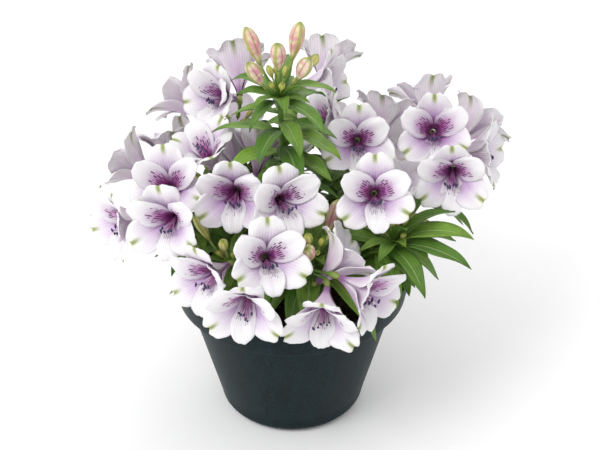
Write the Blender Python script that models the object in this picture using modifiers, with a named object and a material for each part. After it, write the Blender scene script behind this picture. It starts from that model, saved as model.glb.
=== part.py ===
"""A potted alstroemeria: a tapered nursery pot, its plug of soil, leafy stems, open flowers and buds.

Metres, +Z up. The origin is the centre of the pot's foot, on the surface that it stands on. Places in
the plant are given in millimetres from the middle of the pot's mouth, in its rim's plane, so the plant
keeps its place over the pot when the pot's height changes.
"""

import math

import bmesh
import bpy
import numpy as np
from mathutils import Vector
from mathutils.bvhtree import BVHTree

# ---- Driving dimensions, in metres --------------------------------------------------------------
POT_RIM_DIAMETER = 0.190
POT_HEIGHT = 0.129
POT_FOOT_DIAMETER = 0.114
POT_WALL = 0.0016
POT_FLOOR = 0.0020
RIM_BAND_HEIGHT = 0.0245
RIM_BAND_TAPER = 0.0040
RIM_STEP = 0.0075
FOOT_ROUNDING = 0.009
DRAIN_HOLES = 6
DRAIN_HOLE_DIAMETER = 0.010
DRAIN_RING_SHARE = 0.62  # the ring of holes, as a share of the foot's radius
LEDGE_RISE = 2.2  # inside the band, the ledge climbs from the body by this many walls
SOIL_BELOW_RIM = 0.016
SOIL_DOME = 0.003
STEM_DIAMETER = 0.0042
STEM_DEPTH_IN_SOIL = 0.030
STEM_BASE_SPREAD = 0.058
PEDICEL_DIAMETER = 0.0020
OVARY_DIAMETER = 0.0050
OVARY_LENGTH = 0.007
FLOWER_WIDTH = 0.058
FLOWER_LENGTH = 0.048
FLOWER_NECK_DIAMETER = 0.0044
TEPAL_THICKNESS = 0.0006
LEAF_THICKNESS = 0.0006
CLEARANCE = 0.0003
KEEP_APART = 0.0014

POT_SIDES = 48
FLOWER_SECTORS = 12
HEART = 0.5 * FLOWER_LENGTH
LOBE_KINDS = (1.0, 0.74, 0.94, 0.74)  # lengths of the sectors in turn: outer lobe, notch, inner lobe, notch
OPENINGS = (1.0, 0.93, 0.86, 0.79, 0.72, 0.65, 0.58, 0.51, 0.44, 0.37)
FLOWER_ROOM = 0.76 * FLOWER_WIDTH  # how far apart the middles of two flowers' mouths are kept
BLOOM_AHEAD = 0.2 * FLOWER_LENGTH  # the middle of the mouth lies this far in front of the heart
STALK_GAP = 0.8 * CLEARANCE

# ---- The plant's layout, in millimetres and degrees -----------------------------------------------
# Each stem: hub of its umbel (x, y, z), flowers (x, y, z of the flower's heart, heading, climb) and
# buds (x, y, z of the bud's middle, length, width).
STEMS = {
    "left": (
        (-88, 2, 36),
        [(-89, -15, 80, -95, 40), (-88, -62, 74, -105, 15), (-124, -42, 60, -145, 5),
         (-122, 18, 78, 165, 30), (-94, 45, 82, 105, 65)],
        [],
    ),
    "centre_left": (
        (-34, 0, 40),
        [(-42, -36, 80, -98, 15), (-5, -56, 86, -72, 20), (-66, 6, 92, -130, 70),
         (-50, 52, 74, 130, 30), (-20, 36, 84, 75, 55)],
        [],
    ),
    "back_left": (
        (-48, 92, 66),
        [(-84, 76, 100, 160, 35), (-64, 66, 106, -130, 25), (-44, 126, 108, 95, 40)],
        [],
    ),
    "top": (
        (-8, 0, 142),
        [],
        [(4, 2, 184, 30, 11), (-27, 8, 178, 30, 11), (-9, -17, 180, 26, 11), (-25, -14, 166, 26, 10),
         (9, -10, 168, 22, 11), (16, 10, 165, 13, 7)],
    ),
    "back_right": (
        (10, 78, 84),
        [(30, 112, 120, 75, 45), (32, 72, 112, -10, 10)],
        [],
    ),
    "right": (
        (52, 42, 56),
        [(50, 6, 102, -92, 25), (22, 44, 98, -165, 35), (76, 74, 96, 60, 55)],
        [],
    ),
    "far_right": (
        (112, 34, 50),
        [(104, 16, 100, -97, 28), (118, -22, 88, -100, 8), (82, 4, 70, -20, 75),
         (146, 66, 86, 35, 35), (147, 28, 80, -15, 15), (100, 88, 94, 105, 50)],
        [],
    ),
    "middle_right": (
        (78, -22, 34),
        [(56, -54, 80, -92, 28)],
        [(84, -38, 66, 18, 8), (92, -40, 50, 10, 7), (98, -26, 46, 16, 10)],
    ),
    "front_right": (
        (16, -62, 40),
        [(40, -72, 58, 15, 40), (52, -106, 42, -40, -5), (22, -116, 30, -98, -20)],
        [(30, -42, 64, 30, 11), (12, -86, 62, 22, 10), (12, -68, 62, 12, 7)],
    ),
    "front_left": (
        (-42, -48, 24),
        [(-60, -86, 42, -125, 5), (-32, -118, 40, -100, -10), (-16, -92, 62, -78, 30)],
        [(-66, -38, 54, 24, 8), (-74, -48, 42, 24, 8), (-48, -72, 60, 14, 7), (-12, -44, 56, 18, 7)],
    ),
    "rear_left": (
        (-70, 74, 26),
        [(-88, 98, 46, 140, 10), (-44, 126, 52, 95, 5)],
        [],
    ),
    "rear_right": (
        (42, 82, 28),
        [(24, 126, 56, 85, 5), (78, 106, 44, 50, 5)],
        [],
    ),
    "leafy": (
        (76, -48, 46),
        [],
        [],
    ),
}
BUDS_OF_THEIR_OWN = 24  # buds at least this long are pieces of their own; smaller ones grow on the stem

# Leaves set by hand: stem, height along the stem (0 to 1), heading, climb, length, width, droop.
CHOSEN_LEAVES = [
    ("leafy", 0.98, -10, 30, 62, 18, 70), ("leafy", 0.94, -32, 12, 66, 18, 50),
    ("leafy", 0.90, -62, 20, 56, 16, 75), ("leafy", 0.99, 20, 45, 52, 15, 60),
    ("leafy", 0.86, -5, -5, 50, 15, 55), ("leafy", 0.99, -80, 60, 42, 12, 60),
    ("leafy", 0.82, -45, -10, 44, 14, 60), ("leafy", 0.97, 60, 60, 44, 13, 40),
    ("top", 0.995, -25, 50, 48, 14, 70), ("top", 0.96, -48, 20, 50, 17, 60),
    ("top", 0.97, -130, 20, 38, 12, 80), ("top", 0.99, 150, 45, 46, 13, 80),
    ("top", 0.93, 40, 25, 46, 14, 60), ("top", 0.90, 175, 20, 44, 14, 60),
    ("top", 0.86, -70, 15, 44, 15, 60), ("top", 0.995, 80, 60, 44, 12, 70),
    ("front_left", 0.80, -165, 10, 60, 9, 70), ("front_left", 0.70, -150, 0, 56, 8, 60),
    ("front_left", 0.88, -178, 25, 50, 9, 80), ("front_right", 0.86, -42, -5, 76, 16, 55),
    ("front_right", 0.70, -80, 5, 60, 12, 70), ("right", 0.9, 70, 65, 46, 10, 20),
    ("far_right", 0.85, -35, 5, 56, 15, 50), ("far_right", 0.75, 0, 5, 54, 15, 60),
    ("top", 0.80, -110, 25, 50, 17, 60), ("top", 0.77, -30, 20, 52, 18, 60),
    ("top", 0.73, 20, 25, 50, 17, 60), ("top", 0.70, -75, 20, 52, 18, 60),
    ("top", 0.66, -150, 25, 48, 16, 60), ("top", 0.62, -45, 30, 52, 17, 60),
    ("top", 0.58, -100, 30, 50, 17, 60), ("top", 0.54, 0, 30, 50, 17, 60),
    ("back_right", 0.90, 20, 62, 46, 12, 30), ("back_right", 0.80, -60, 40, 50, 15, 50),
    ("front_right", 0.55, -105, 0, 60, 16, 60), ("front_right", 0.62, -135, 20, 54, 16, 60),
    ("front_right", 0.90, 75, 45, 50, 15, 60), ("front_right", 0.80, 130, 35, 52, 15, 60),
    ("front_right", 0.75, 30, 35, 50, 15, 60), ("front_left", 0.55, -75, 5, 56, 16, 60),
    ("front_left", 0.62, -40, 25, 54, 16, 60), ("front_left", 0.90, 30, 45, 50, 15, 60),
    ("front_left", 0.80, 90, 40, 50, 15, 60), ("left", 0.80, -80, 10, 56, 15, 50),
    ("left", 0.70, -50, 10, 56, 15, 50), ("middle_right", 0.95, -60, 40, 50, 16, 60),
    ("middle_right", 0.90, 0, 30, 54, 16, 60), ("middle_right", 0.80, -110, 20, 52, 16, 60),
    ("leafy", 0.76, -75, 0, 52, 16, 50), ("leafy", 0.72, 0, 10, 54, 16, 50),
    ("centre_left", 0.80, -60, 20, 54, 16, 50), ("centre_left", 0.72, -110, 15, 54, 16, 50),
]
LEAVES_TO_A_STEM = 11
LEAF_TURN = 137.5
LEAF_LENGTHS = (46, 64)
LEAF_WIDTH_SHARE = 0.28
SPIRAL_START = 0.16  # share of the stem below which it bears no leaves
SPIRAL_SPAN = 0.74
LOWEST_LEAF_CLIMB = 38
CLIMB_LOST_UP_THE_STEM = 30
LEAF_DROOP = 60
MM = 0.001

# ---- Plain geometry -------------------------------------------------------------------------------


def direction(heading, climb):
    """Unit vector that heads the given degrees round from +X and climbs the given degrees."""
    a, b = math.radians(heading), math.radians(climb)
    return np.array([math.cos(b) * math.cos(a), math.cos(b) * math.sin(a), math.sin(b)])


def from_mouth(x, y, z):
    """A layout place, in millimetres from the middle of the pot's mouth, as a point in metres."""
    return np.array([x, y, z]) * MM + np.array([0.0, 0.0, POT_HEIGHT])


def side_of(axis):
    """A unit vector square to the axis, level where it can be."""
    side = np.cross([0.0, 0.0, 1.0], axis)
    if np.linalg.norm(side) < 0.05:
        side = np.array([1.0, 0.0, 0.0])
    return side / np.linalg.norm(side)


def bezier(points, shares):
    """Points of the cubic Bezier curve with four control points, at shares from 0 to 1."""
    t = np.asarray(shares, float)[:, None]
    a, b, c, d = (np.asarray(p, float) for p in points)
    return a * (1 - t) ** 3 + 3 * b * t * (1 - t) ** 2 + 3 * c * t**2 * (1 - t) + d * t**3


def sheet_mesh(points, quads):
    """A mesh from an array of points and a list of faces."""
    mesh = bpy.data.meshes.new("sheet")
    mesh.from_pydata([tuple(p) for p in points], [], quads)
    mesh.update()
    return mesh


def skin(points, faces):
    """A surface for clearance tests: its search tree, and its corners, edges' and faces' middles."""
    middles = [np.mean([points[i] for i in face], axis=0) for face in faces]
    edges = {tuple(sorted(pair)) for face in faces for pair in zip(face, face[1:] + face[:1])}
    halves = [(points[i] + points[j]) / 2 for i, j in sorted(edges)]
    tree = BVHTree.FromPolygons([tuple(p) for p in points], faces)
    return tree, list(points) + middles + halves


def is_clear(points, faces, others, gap):
    """Whether a surface neither crosses the other surfaces nor comes nearer to them than the gap."""
    tree, spots = skin(points, faces)
    low = np.min(points, axis=0) - gap
    high = np.max(points, axis=0) + gap
    for other_tree, other_spots in others:
        if tree.overlap(other_tree):
            return False
        if any(other_tree.find_nearest(spot, gap)[0] is not None for spot in spots):
            return False
        places = np.array(other_spots)
        near = places[((places > low) & (places < high)).all(axis=1)]
        if any(tree.find_nearest(spot, gap)[0] is not None for spot in near):
            return False
    return True


# ---- Scene helpers --------------------------------------------------------------------------------


def clear_scene():
    """Removes every object, so that the model is all there is."""
    for obj in list(bpy.data.objects):
        bpy.data.objects.remove(obj, do_unlink=True)


def collection(name):
    """A new collection in the scene."""
    group = bpy.data.collections.new(name)
    bpy.context.scene.collection.children.link(group)
    return group


def material(name, colour, roughness):
    """A Principled BSDF with one colour and roughness."""
    mat = bpy.data.materials.new(name)
    mat.use_nodes = True
    shader = mat.node_tree.nodes["Principled BSDF"]
    shader.inputs["Base Color"].default_value = (*colour, 1.0)
    shader.inputs["Roughness"].default_value = roughness
    shader.inputs["Metallic"].default_value = 0.0
    return mat


def add_object(name, mesh, group, mat=None):
    """A new object round a mesh, in a collection."""
    obj = bpy.data.objects.new(name, mesh)
    if mat:
        mesh.materials.clear()
        mesh.materials.append(mat)
    group.objects.link(obj)
    return obj


def thicken(obj, thickness):
    """Gives an open surface a wall, half on each side."""
    wall = obj.modifiers.new("Wall", "SOLIDIFY")
    wall.thickness = thickness
    wall.offset = 0.0


def turned(name, profile, sides, group, mat):
    """A solid of revolution from an outline of (radius, height) points, outer side first, top to bottom."""
    points = [(r, 0.0, z) for r, z in profile]
    edges = [(i, i + 1) for i in range(len(points) - 1)]
    mesh = bpy.data.meshes.new(name)
    mesh.from_pydata(points, edges, [])
    obj = add_object(name, mesh, group, mat)
    screw = obj.modifiers.new("Turn", "SCREW")
    screw.steps = sides
    screw.render_steps = sides
    screw.use_merge_vertices = True
    screw.merge_threshold = 0.00001
    screw.use_smooth_shade = True
    return obj


def as_cutter(obj):
    """Hides a cutting tool from the render."""
    obj.hide_render = True
    obj.display_type = "WIRE"
    return obj


def boolean(obj, other, operation, solver="EXACT"):
    """Joins a solid to another or cuts it with one."""
    modifier = obj.modifiers.new(operation.title(), "BOOLEAN")
    modifier.operation = operation
    modifier.solver = solver
    modifier.object = other


def frozen_mesh(obj):
    """The object's mesh with its modifiers applied."""
    graph = bpy.context.evaluated_depsgraph_get()
    graph.update()
    return bpy.data.meshes.new_from_object(obj.evaluated_get(graph))


def tube(points, radii, group, resolution):
    """A closed tube along points, as a mesh object, with its caps welded on."""
    curve = bpy.data.curves.new("tube", "CURVE")
    curve.dimensions = "3D"
    curve.bevel_depth = 1.0
    curve.bevel_resolution = resolution
    curve.use_fill_caps = True
    spline = curve.splines.new("POLY")
    spline.points.add(len(points) - 1)
    for knot, point, radius in zip(spline.points, points, radii):
        knot.co = (*point, 1.0)
        knot.radius = radius
    guide = bpy.data.objects.new("tube", curve)
    group.objects.link(guide)
    mesh = frozen_mesh(guide)
    bpy.data.objects.remove(guide, do_unlink=True)
    work = bmesh.new()
    work.from_mesh(mesh)
    bmesh.ops.remove_doubles(work, verts=work.verts, dist=0.00001)
    bmesh.ops.recalc_face_normals(work, faces=work.faces)
    work.to_mesh(mesh)
    work.free()
    return add_object("tube", mesh, group)


def surface_of(obj):
    """An object's evaluated points and faces, for clearance tests."""
    mesh = frozen_mesh(obj)
    points = [np.array(v.co) for v in mesh.vertices]
    faces = [tuple(p.vertices) for p in mesh.polygons]
    bpy.data.meshes.remove(mesh)
    return points, faces


# ---- Pot and soil ---------------------------------------------------------------------------------


def body_radius(height):
    """Outer radius of the pot's tapered body at a height."""
    foot = POT_FOOT_DIAMETER / 2
    top = POT_RIM_DIAMETER / 2 - RIM_BAND_TAPER - RIM_STEP
    return foot + (top - foot) * height / (POT_HEIGHT - RIM_BAND_HEIGHT)


def foot_arc(inset):
    """The rounded corner between wall and floor, inset by the wall, as five (radius, height) points."""
    rounding = FOOT_ROUNDING - inset
    points = []
    for step in range(5):
        turn = math.radians(90 * step / 4)
        radius = body_radius(FOOT_ROUNDING) - FOOT_ROUNDING + rounding * math.cos(turn)
        points.append((radius, FOOT_ROUNDING - rounding * math.sin(turn)))
    return points


def make_pot(group, tools, mat):
    """The pot: a thin tapered shell with a deep rim band, a flat foot and a ring of drain holes."""
    rim = POT_RIM_DIAMETER / 2
    band_foot = POT_HEIGHT - RIM_BAND_HEIGHT
    shoulder = body_radius(band_foot)
    band_low = rim - RIM_BAND_TAPER
    edge = POT_WALL / 3
    outer = [(rim - edge, POT_HEIGHT), (rim, POT_HEIGHT - edge), (band_low, band_foot + edge)]
    outer += [(band_low - edge, band_foot), (shoulder, band_foot - edge)] + foot_arc(0.0) + [(0.0, 0.0)]
    inner = [(0.0, POT_FLOOR)]
    inner += [(r, z + POT_FLOOR - POT_WALL) for r, z in reversed(foot_arc(POT_WALL))]
    inner += [(shoulder - POT_WALL, band_foot + POT_WALL)]
    inner += [(band_low - POT_WALL, band_foot + LEDGE_RISE * POT_WALL)]
    inner += [(rim - POT_WALL, POT_HEIGHT - edge), (rim - edge, POT_HEIGHT)]
    pot = turned("pot", outer + inner, POT_SIDES, group, mat)
    ring = DRAIN_RING_SHARE * POT_FOOT_DIAMETER / 2
    for index in range(DRAIN_HOLES):
        turn = 2 * math.pi * index / DRAIN_HOLES
        bpy.ops.mesh.primitive_cylinder_add(
            vertices=12,
            radius=DRAIN_HOLE_DIAMETER / 2,
            depth=POT_FLOOR * 6,
            location=(ring * math.cos(turn), ring * math.sin(turn), POT_FLOOR / 2),
        )
        cutter = as_cutter(bpy.context.object)
        cutter.name = f"drain_cutter_{index + 1}"
        move_to(cutter, tools)
        boolean(pot, cutter, "DIFFERENCE")
    return pot


def move_to(obj, group):
    """Leaves an object in one collection only."""
    for other in list(obj.users_collection):
        other.objects.unlink(obj)
    group.objects.link(obj)


def soil_height(radius):
    """Height of the soil's top at a radius: a shallow dome that falls to the wall."""
    mouth = POT_RIM_DIAMETER / 2
    return POT_HEIGHT - SOIL_BELOW_RIM + SOIL_DOME * (1 - (radius / mouth) ** 2)


def make_soil(group, mat):
    """The soil: a plug that follows the pot's inside with the clearance, and has a shallow domed top."""
    band_foot = POT_HEIGHT - RIM_BAND_HEIGHT
    gap = POT_WALL + CLEARANCE
    shoulder = body_radius(band_foot) - gap
    rim = POT_RIM_DIAMETER / 2
    ledge = band_foot + LEDGE_RISE * POT_WALL + CLEARANCE
    top = POT_HEIGHT - SOIL_BELOW_RIM
    low = rim - RIM_BAND_TAPER
    wall = low + (rim - low) * (top - band_foot) / RIM_BAND_HEIGHT - gap - CLEARANCE
    outline = [(0.0, soil_height(0.0))]
    outline += [(wall * share, soil_height(wall * share)) for share in (0.35, 0.7)]
    outline += [(wall, soil_height(wall))]
    if top > ledge + CLEARANCE:
        outline += [(low - gap - CLEARANCE, ledge)]
    outline += [(shoulder - CLEARANCE, band_foot + POT_WALL)]
    lift = POT_FLOOR + CLEARANCE
    outline += [(r, z - POT_WALL + lift) for r, z in foot_arc(gap + CLEARANCE)]
    outline += [(0.0, lift + CLEARANCE)]
    return turned("soil", outline, POT_SIDES, group, mat)


# ---- Flowers and buds -----------------------------------------------------------------------------


def flower_surface(heart, axis, opening):
    """An open flower as one thin funnel with six lobes.

    Round the axis the flower has twelve sectors, lobe tip and notch in turn. Along a sector the
    distance from the axis grows as a power of the share, and the height runs nearly straight.
    """
    side = side_of(axis)
    up = np.cross(axis, side)
    base = heart - axis * HEART
    points = [base]
    reach = FLOWER_WIDTH / 2
    neck = FLOWER_NECK_DIAMETER / 2
    shares = (0.0, 0.34, 0.68, 1.0)
    for share in shares:
        for sector in range(FLOWER_SECTORS):
            along = share * LOBE_KINDS[sector % len(LOBE_KINDS)]
            radius = neck + (reach - neck) * opening * along**1.5
            height = FLOWER_LENGTH * (along - 0.14 * opening * along**3)
            turn = math.pi / 2 + 2 * math.pi * sector / FLOWER_SECTORS
            points.append(base + axis * height + radius * (math.cos(turn) * side + math.sin(turn) * up))
    faces = [(0, 1 + (i + 1) % FLOWER_SECTORS, 1 + i) for i in range(FLOWER_SECTORS)]
    for ring in range(len(shares) - 1):
        low, high = 1 + ring * FLOWER_SECTORS, 1 + (ring + 1) * FLOWER_SECTORS
        for i in range(FLOWER_SECTORS):
            j = (i + 1) % FLOWER_SECTORS
            faces.append((low + i, low + j, high + j, high + i))
    return np.array(points), faces


def bud_surface(middle, axis, length, width):
    """A closed bud: a turned spindle, fullest a little past its middle, with six sides."""
    side = side_of(axis)
    up = np.cross(axis, side)
    stations = [(-0.5, 0.0), (-0.47, 0.16), (-0.2, 0.36), (0.12, 0.5), (0.36, 0.33), (0.5, 0.0)]
    points = []
    rings = []
    for along, share in stations:
        if share == 0.0:
            rings.append([len(points)])
            points.append(middle + axis * along * length)
            continue
        ring = []
        for i in range(6):
            turn = math.pi * i / 3
            ring.append(len(points))
            offset = math.cos(turn) * side + math.sin(turn) * up
            points.append(middle + axis * along * length + offset * share * width)
        rings.append(ring)
    faces = []
    for low, high in zip(rings, rings[1:]):
        for i in range(6):
            j = (i + 1) % 6
            if len(low) == 1:
                faces.append((low[0], high[j], high[i]))
            elif len(high) == 1:
                faces.append((low[i], low[j], high[0]))
            else:
                faces.append((low[i], low[j], high[j], high[i]))
    return np.array(points), faces


def settle(flowers):
    """Moves flowers that stand too close apart, a little at a time, each pair along its own line."""
    places = np.array([heart for heart, _ in flowers])
    axes = np.array([axis for _, axis in flowers])
    for _ in range(40):
        blooms = places + axes * BLOOM_AHEAD
        gaps = blooms[:, None, :] - blooms[None, :, :]
        spans = np.linalg.norm(gaps, axis=2) + np.eye(len(places))
        short = np.clip(FLOWER_ROOM - spans, 0.0, None) * (1 - np.eye(len(places)))
        places = places + 0.25 * (gaps / spans[:, :, None] * short[:, :, None]).sum(axis=1)
    return places


# ---- Stems and leaves -----------------------------------------------------------------------------


def stem_line(stem):
    """A stem's own points: straight up out of the soil, then a Bezier curve that leans to the umbel."""
    hub = from_mouth(*STEMS[stem][0])
    plan = hub[:2]
    base_plan = plan * min(1.0, STEM_BASE_SPREAD / max(0.14, 2.0 * np.linalg.norm(plan)))
    ground = soil_height(np.linalg.norm(base_plan))
    foot = np.array([*base_plan, ground - STEM_DEPTH_IN_SOIL])
    soil_top = np.array([*base_plan, ground + 0.002])
    climb = hub[2] - ground
    lean = np.array([*(plan - base_plan) * 0.25, climb * 0.45])
    arrive = np.array([*(plan - base_plan) * -0.30, climb * -0.30])
    curve = bezier((soil_top, soil_top + lean, hub + arrive, hub), np.linspace(0, 1, 8))
    return np.vstack([foot, curve])


def point_on(line, share):
    """The point at a share of the way along a line of points, past its first, buried, stretch."""
    place = 1 + share * (len(line) - 2)
    index = min(int(place), len(line) - 2)
    rest = place - index
    return line[index] * (1 - rest) + line[index + 1] * rest


def pedicel_line(hub, foot, axis, bow):
    """A flower stalk from the hub to the flower's foot: a Bezier curve that arrives along its axis."""
    span = np.linalg.norm(foot - hub)
    away = (foot - hub) / span
    leave = hub + away * span * 0.35 + bow
    arrive = foot - axis * min(span * 0.45, 0.016)
    line = bezier((hub, leave, arrive, foot), (0.0, 0.33, 0.7))
    ovary = [foot - axis * OVARY_LENGTH, foot - axis * OVARY_LENGTH * 0.35, foot - axis * CLEARANCE]
    return np.vstack([line, ovary])


def stalk_bows():
    """Sideways bows for a stalk, in metres: none, then wider and wider ones all round."""
    yield np.zeros(3)
    for reach in (0.005, 0.010, 0.016, 0.023, 0.030):
        for heading in range(0, 360, 45):
            yield direction(heading, 0) * reach
            yield direction(heading, -40) * reach


PEDICEL_SWELLING = np.array([1.3, 1.0, 1.0, 1.2, OVARY_DIAMETER / PEDICEL_DIAMETER, 1.4])


def leaf_surface(root, heading, climb, length, width, droop):
    """A lance-shaped leaf: its midline droops steadily, and its two halves fold up a little.

    The half width follows the sine of a power of the share along the leaf, widest at 45%.
    """
    shares = (0.0, 0.24, 0.62, 1.0)
    place = np.array(root, float)
    points = []
    previous = 0.0
    across = np.array([-math.sin(math.radians(heading)), math.cos(math.radians(heading)), 0.0])
    for share in shares:
        middle_share = 0.5 * (share + previous)
        place = place + direction(heading, climb - droop * middle_share) * length * (share - previous)
        previous = share
        if share == 1.0:
            points.append(place)
            break
        half = max(0.5 * width * math.sin(math.pi * share**0.85), 0.09 * width)
        lift = np.cross(direction(heading, climb - droop * share), across) * 0.30 * half
        points += [place - across * half + lift, place, place + across * half + lift]
    faces = []
    rows = len(shares) - 2
    for at in range(0, 3 * rows, 3):
        faces += [(at, at + 1, at + 4, at + 3), (at + 1, at + 2, at + 5, at + 4)]
    last = 3 * rows
    faces += [(last, last + 1, last + 3), (last + 1, last + 2, last + 3)]
    return np.array(points), faces


def wanted_leaves(stem, order):
    """The leaves that a stem should carry: those set by hand, then the regular spiral up the stem."""
    leaves = [entry[1:] for entry in CHOSEN_LEAVES if entry[0] == stem]
    for index in range(LEAVES_TO_A_STEM):
        share = SPIRAL_START + SPIRAL_SPAN * index / (LEAVES_TO_A_STEM - 1)
        length = LEAF_LENGTHS[0] + (LEAF_LENGTHS[1] - LEAF_LENGTHS[0]) * ((index * 3 + order) % 5) / 4
        heading = (LEAF_TURN * index + 50 * order) % 360
        climb = LOWEST_LEAF_CLIMB - CLIMB_LOST_UP_THE_STEM * share
        leaves.append((share, heading, climb, length, LEAF_WIDTH_SHARE * length, LEAF_DROOP))
    return leaves


def leaf_tries(line, leaf):
    """The leaf as wanted and then ever more changed: turned, raised, lowered and shortened."""
    share, heading, climb, length, width, droop = leaf
    for shrink in (1.0, 0.85, 0.7):
        for turn in (0, 14, -14, 28, -28, 42, -42):
            for tilt in (0, 14, -14, 28):
                root = point_on(line, share)
                yield leaf_surface(
                    root, heading + turn, climb + tilt, length * shrink * MM, width * shrink * MM, droop
                )


def keep_outer_shell(mesh):
    """Fills the tiny pockets that crossing tubes close off: only the widest shell of faces stays."""
    work = bmesh.new()
    work.from_mesh(mesh)
    unseen = set(work.faces)
    shells = []
    while unseen:
        shell = [unseen.pop()]
        for face in shell:
            for edge in face.edges:
                fresh = [f for f in edge.link_faces if f in unseen]
                unseen.difference_update(fresh)
                shell += fresh
        shells.append(shell)
    shells.sort(key=len)
    inner = [face for shell in shells[:-1] for face in shell]
    bmesh.ops.delete(work, geom=inner, context="FACES")
    work.to_mesh(mesh)
    work.free()


def join_all(name, pieces, group, mat):
    """One solid from overlapping solids, by Boolean unions in turn.

    Many thin tubes meet at one hub, where the exact solver leaves slits, so this is the manifold one.
    """
    first = pieces[0]
    for piece in pieces[1:]:
        boolean(first, piece, "UNION", "MANIFOLD")
    mesh = frozen_mesh(first)
    for piece in pieces:
        bpy.data.objects.remove(piece, do_unlink=True)
    keep_outer_shell(mesh)
    return add_object(name, mesh, group, mat)


def solid_of(points, faces, thickness, tools):
    """A scratch solid of an open surface, with its wall frozen in."""
    obj = add_object("sheet", sheet_mesh(points, faces), tools)
    thicken(obj, thickness)
    mesh = frozen_mesh(obj)
    bpy.data.objects.remove(obj, do_unlink=True)
    return add_object("sheet", mesh, tools)


def make_flowers(group, mat, trees, thin_trees):
    """The flowers: their places are settled, then each one opens until it meets a neighbour.

    Gives each stem's stalk ends (foot, axis, and the surface that the stalk may enter), and adds each
    flower's surface to the trees. The thin trees, those of stems and buds, may come nearer than they.
    """
    wanted = []
    for stem, (_, flowers, _) in STEMS.items():
        for x, y, z, heading, climb in flowers:
            wanted.append((stem, from_mouth(x, y, z), direction(heading, climb)))
    places = settle([(heart, axis) for _, heart, axis in wanted])
    stalk_ends = {stem: [] for stem in STEMS}
    for index, ((stem, _, axis), heart) in enumerate(zip(wanted, places)):
        for opening in OPENINGS:
            points, faces = flower_surface(heart, axis, opening)
            if not is_clear(points, faces, thin_trees, STALK_GAP + TEPAL_THICKNESS / 2):
                continue
            if is_clear(points, faces, trees, KEEP_APART + TEPAL_THICKNESS):
                break
        trees.append(skin(points, faces))
        flower = add_object(f"flower_{index + 1:02d}", sheet_mesh(points, faces), group, mat)
        thicken(flower, TEPAL_THICKNESS)
        stalk_ends[stem].append((heart - axis * (HEART + TEPAL_THICKNESS / 2), axis, None))
    return stalk_ends


def make_buds(group, tools, mat):
    """The buds: large ones are pieces of their own, small ones are kept to be joined to their stems.

    Gives the small buds of each stem, every bud's surface, and each stem's stalk ends.
    """
    small = {stem: [] for stem in STEMS}
    stalk_ends = {stem: [] for stem in STEMS}
    trees = []
    count = 0
    for stem, (hub_place, _, buds) in STEMS.items():
        hub = from_mouth(*hub_place)
        for x, y, z, length, width in buds:
            middle = from_mouth(x, y, z)
            axis = (middle - hub) / np.linalg.norm(middle - hub)
            axis = axis * 0.75 + np.array([0.0, 0.0, 0.25])
            axis = axis / np.linalg.norm(axis)
            points, faces = bud_surface(middle, axis, length * MM, width * MM)
            trees.append(skin(points, faces))
            foot = middle - axis * length * MM * 0.5
            if length >= BUDS_OF_THEIR_OWN:
                count += 1
                add_object(f"bud_{count:02d}", sheet_mesh(points, faces), group, mat)
                stalk_ends[stem].append((foot, axis, None))
            else:
                small[stem].append(add_object("small_bud", sheet_mesh(points, faces), tools))
                stalk_ends[stem].append((foot + axis * length * MM * 0.15, axis, trees[-1]))
    return small, trees, stalk_ends


def make_main_stems(tools, lines):
    """Each stem's own tube, a little wider at its hub, and its surface."""
    wood = {}
    trees = {}
    radius = STEM_DIAMETER / 2
    for stem, line in lines.items():
        main_tube = tube(line, [radius] * (len(line) - 1) + [radius * 1.2], tools, 1)
        wood[stem] = [main_tube]
        trees[stem] = [skin(*surface_of(main_tube))]
    return wood, trees


def add_stalks(tools, lines, wood, trees, stalk_ends, flower_trees, bud_trees):
    """The stalks of flowers and buds, each on the first bow that keeps clear of everything."""
    for stem, line in lines.items():
        others = bud_trees + [t for other in STEMS if other != stem for t in trees[other]]
        for foot, axis, own_bud in stalk_ends[stem]:
            strangers = [t for t in others if t is not own_bud]
            tubes = []
            for bow in stalk_bows():
                stalk = pedicel_line(line[-1], foot, axis, bow)
                tubes.append(tube(stalk, PEDICEL_SWELLING * PEDICEL_DIAMETER / 2, tools, 0))
                points, faces = surface_of(tubes[-1])
                near_wood = is_clear(points, faces, strangers, STALK_GAP)
                if near_wood and is_clear(points, faces, flower_trees, STALK_GAP + TEPAL_THICKNESS / 2):
                    break
            else:
                print("no clear stalk:", stem, foot)
            for spare in tubes[:-1]:
                bpy.data.objects.remove(spare, do_unlink=True)
            wood[stem].append(tubes[-1])
            trees[stem].append(skin(points, faces))


def grow_leaves(tools, lines, wood, wood_trees, still_trees):
    """The leaves: each takes the first try that keeps clear, and one with no room isn't grown."""
    leaf_trees = {stem: [] for stem in STEMS}
    dropped = 0
    for order, (stem, line) in enumerate(lines.items()):
        others = still_trees + [t for other in STEMS if other != stem for t in wood_trees[other]]
        others += [t for other in STEMS if other != stem for t in leaf_trees[other]]
        own = leaf_trees[stem]
        for leaf in wanted_leaves(stem, order):
            for points, faces in leaf_tries(line, leaf):
                blade = [tuple(i - 3 for i in face) for face in faces[2:]]
                if not is_clear(points[3:], blade, own, KEEP_APART):
                    continue
                if is_clear(points, faces, others, KEEP_APART + LEAF_THICKNESS):
                    own.append(skin(points, faces))
                    wood[stem].append(solid_of(points, faces, LEAF_THICKNESS, tools))
                    break
            else:
                dropped += 1
    print("leaves:", sum(len(t) for t in leaf_trees.values()), "dropped:", dropped)


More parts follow.
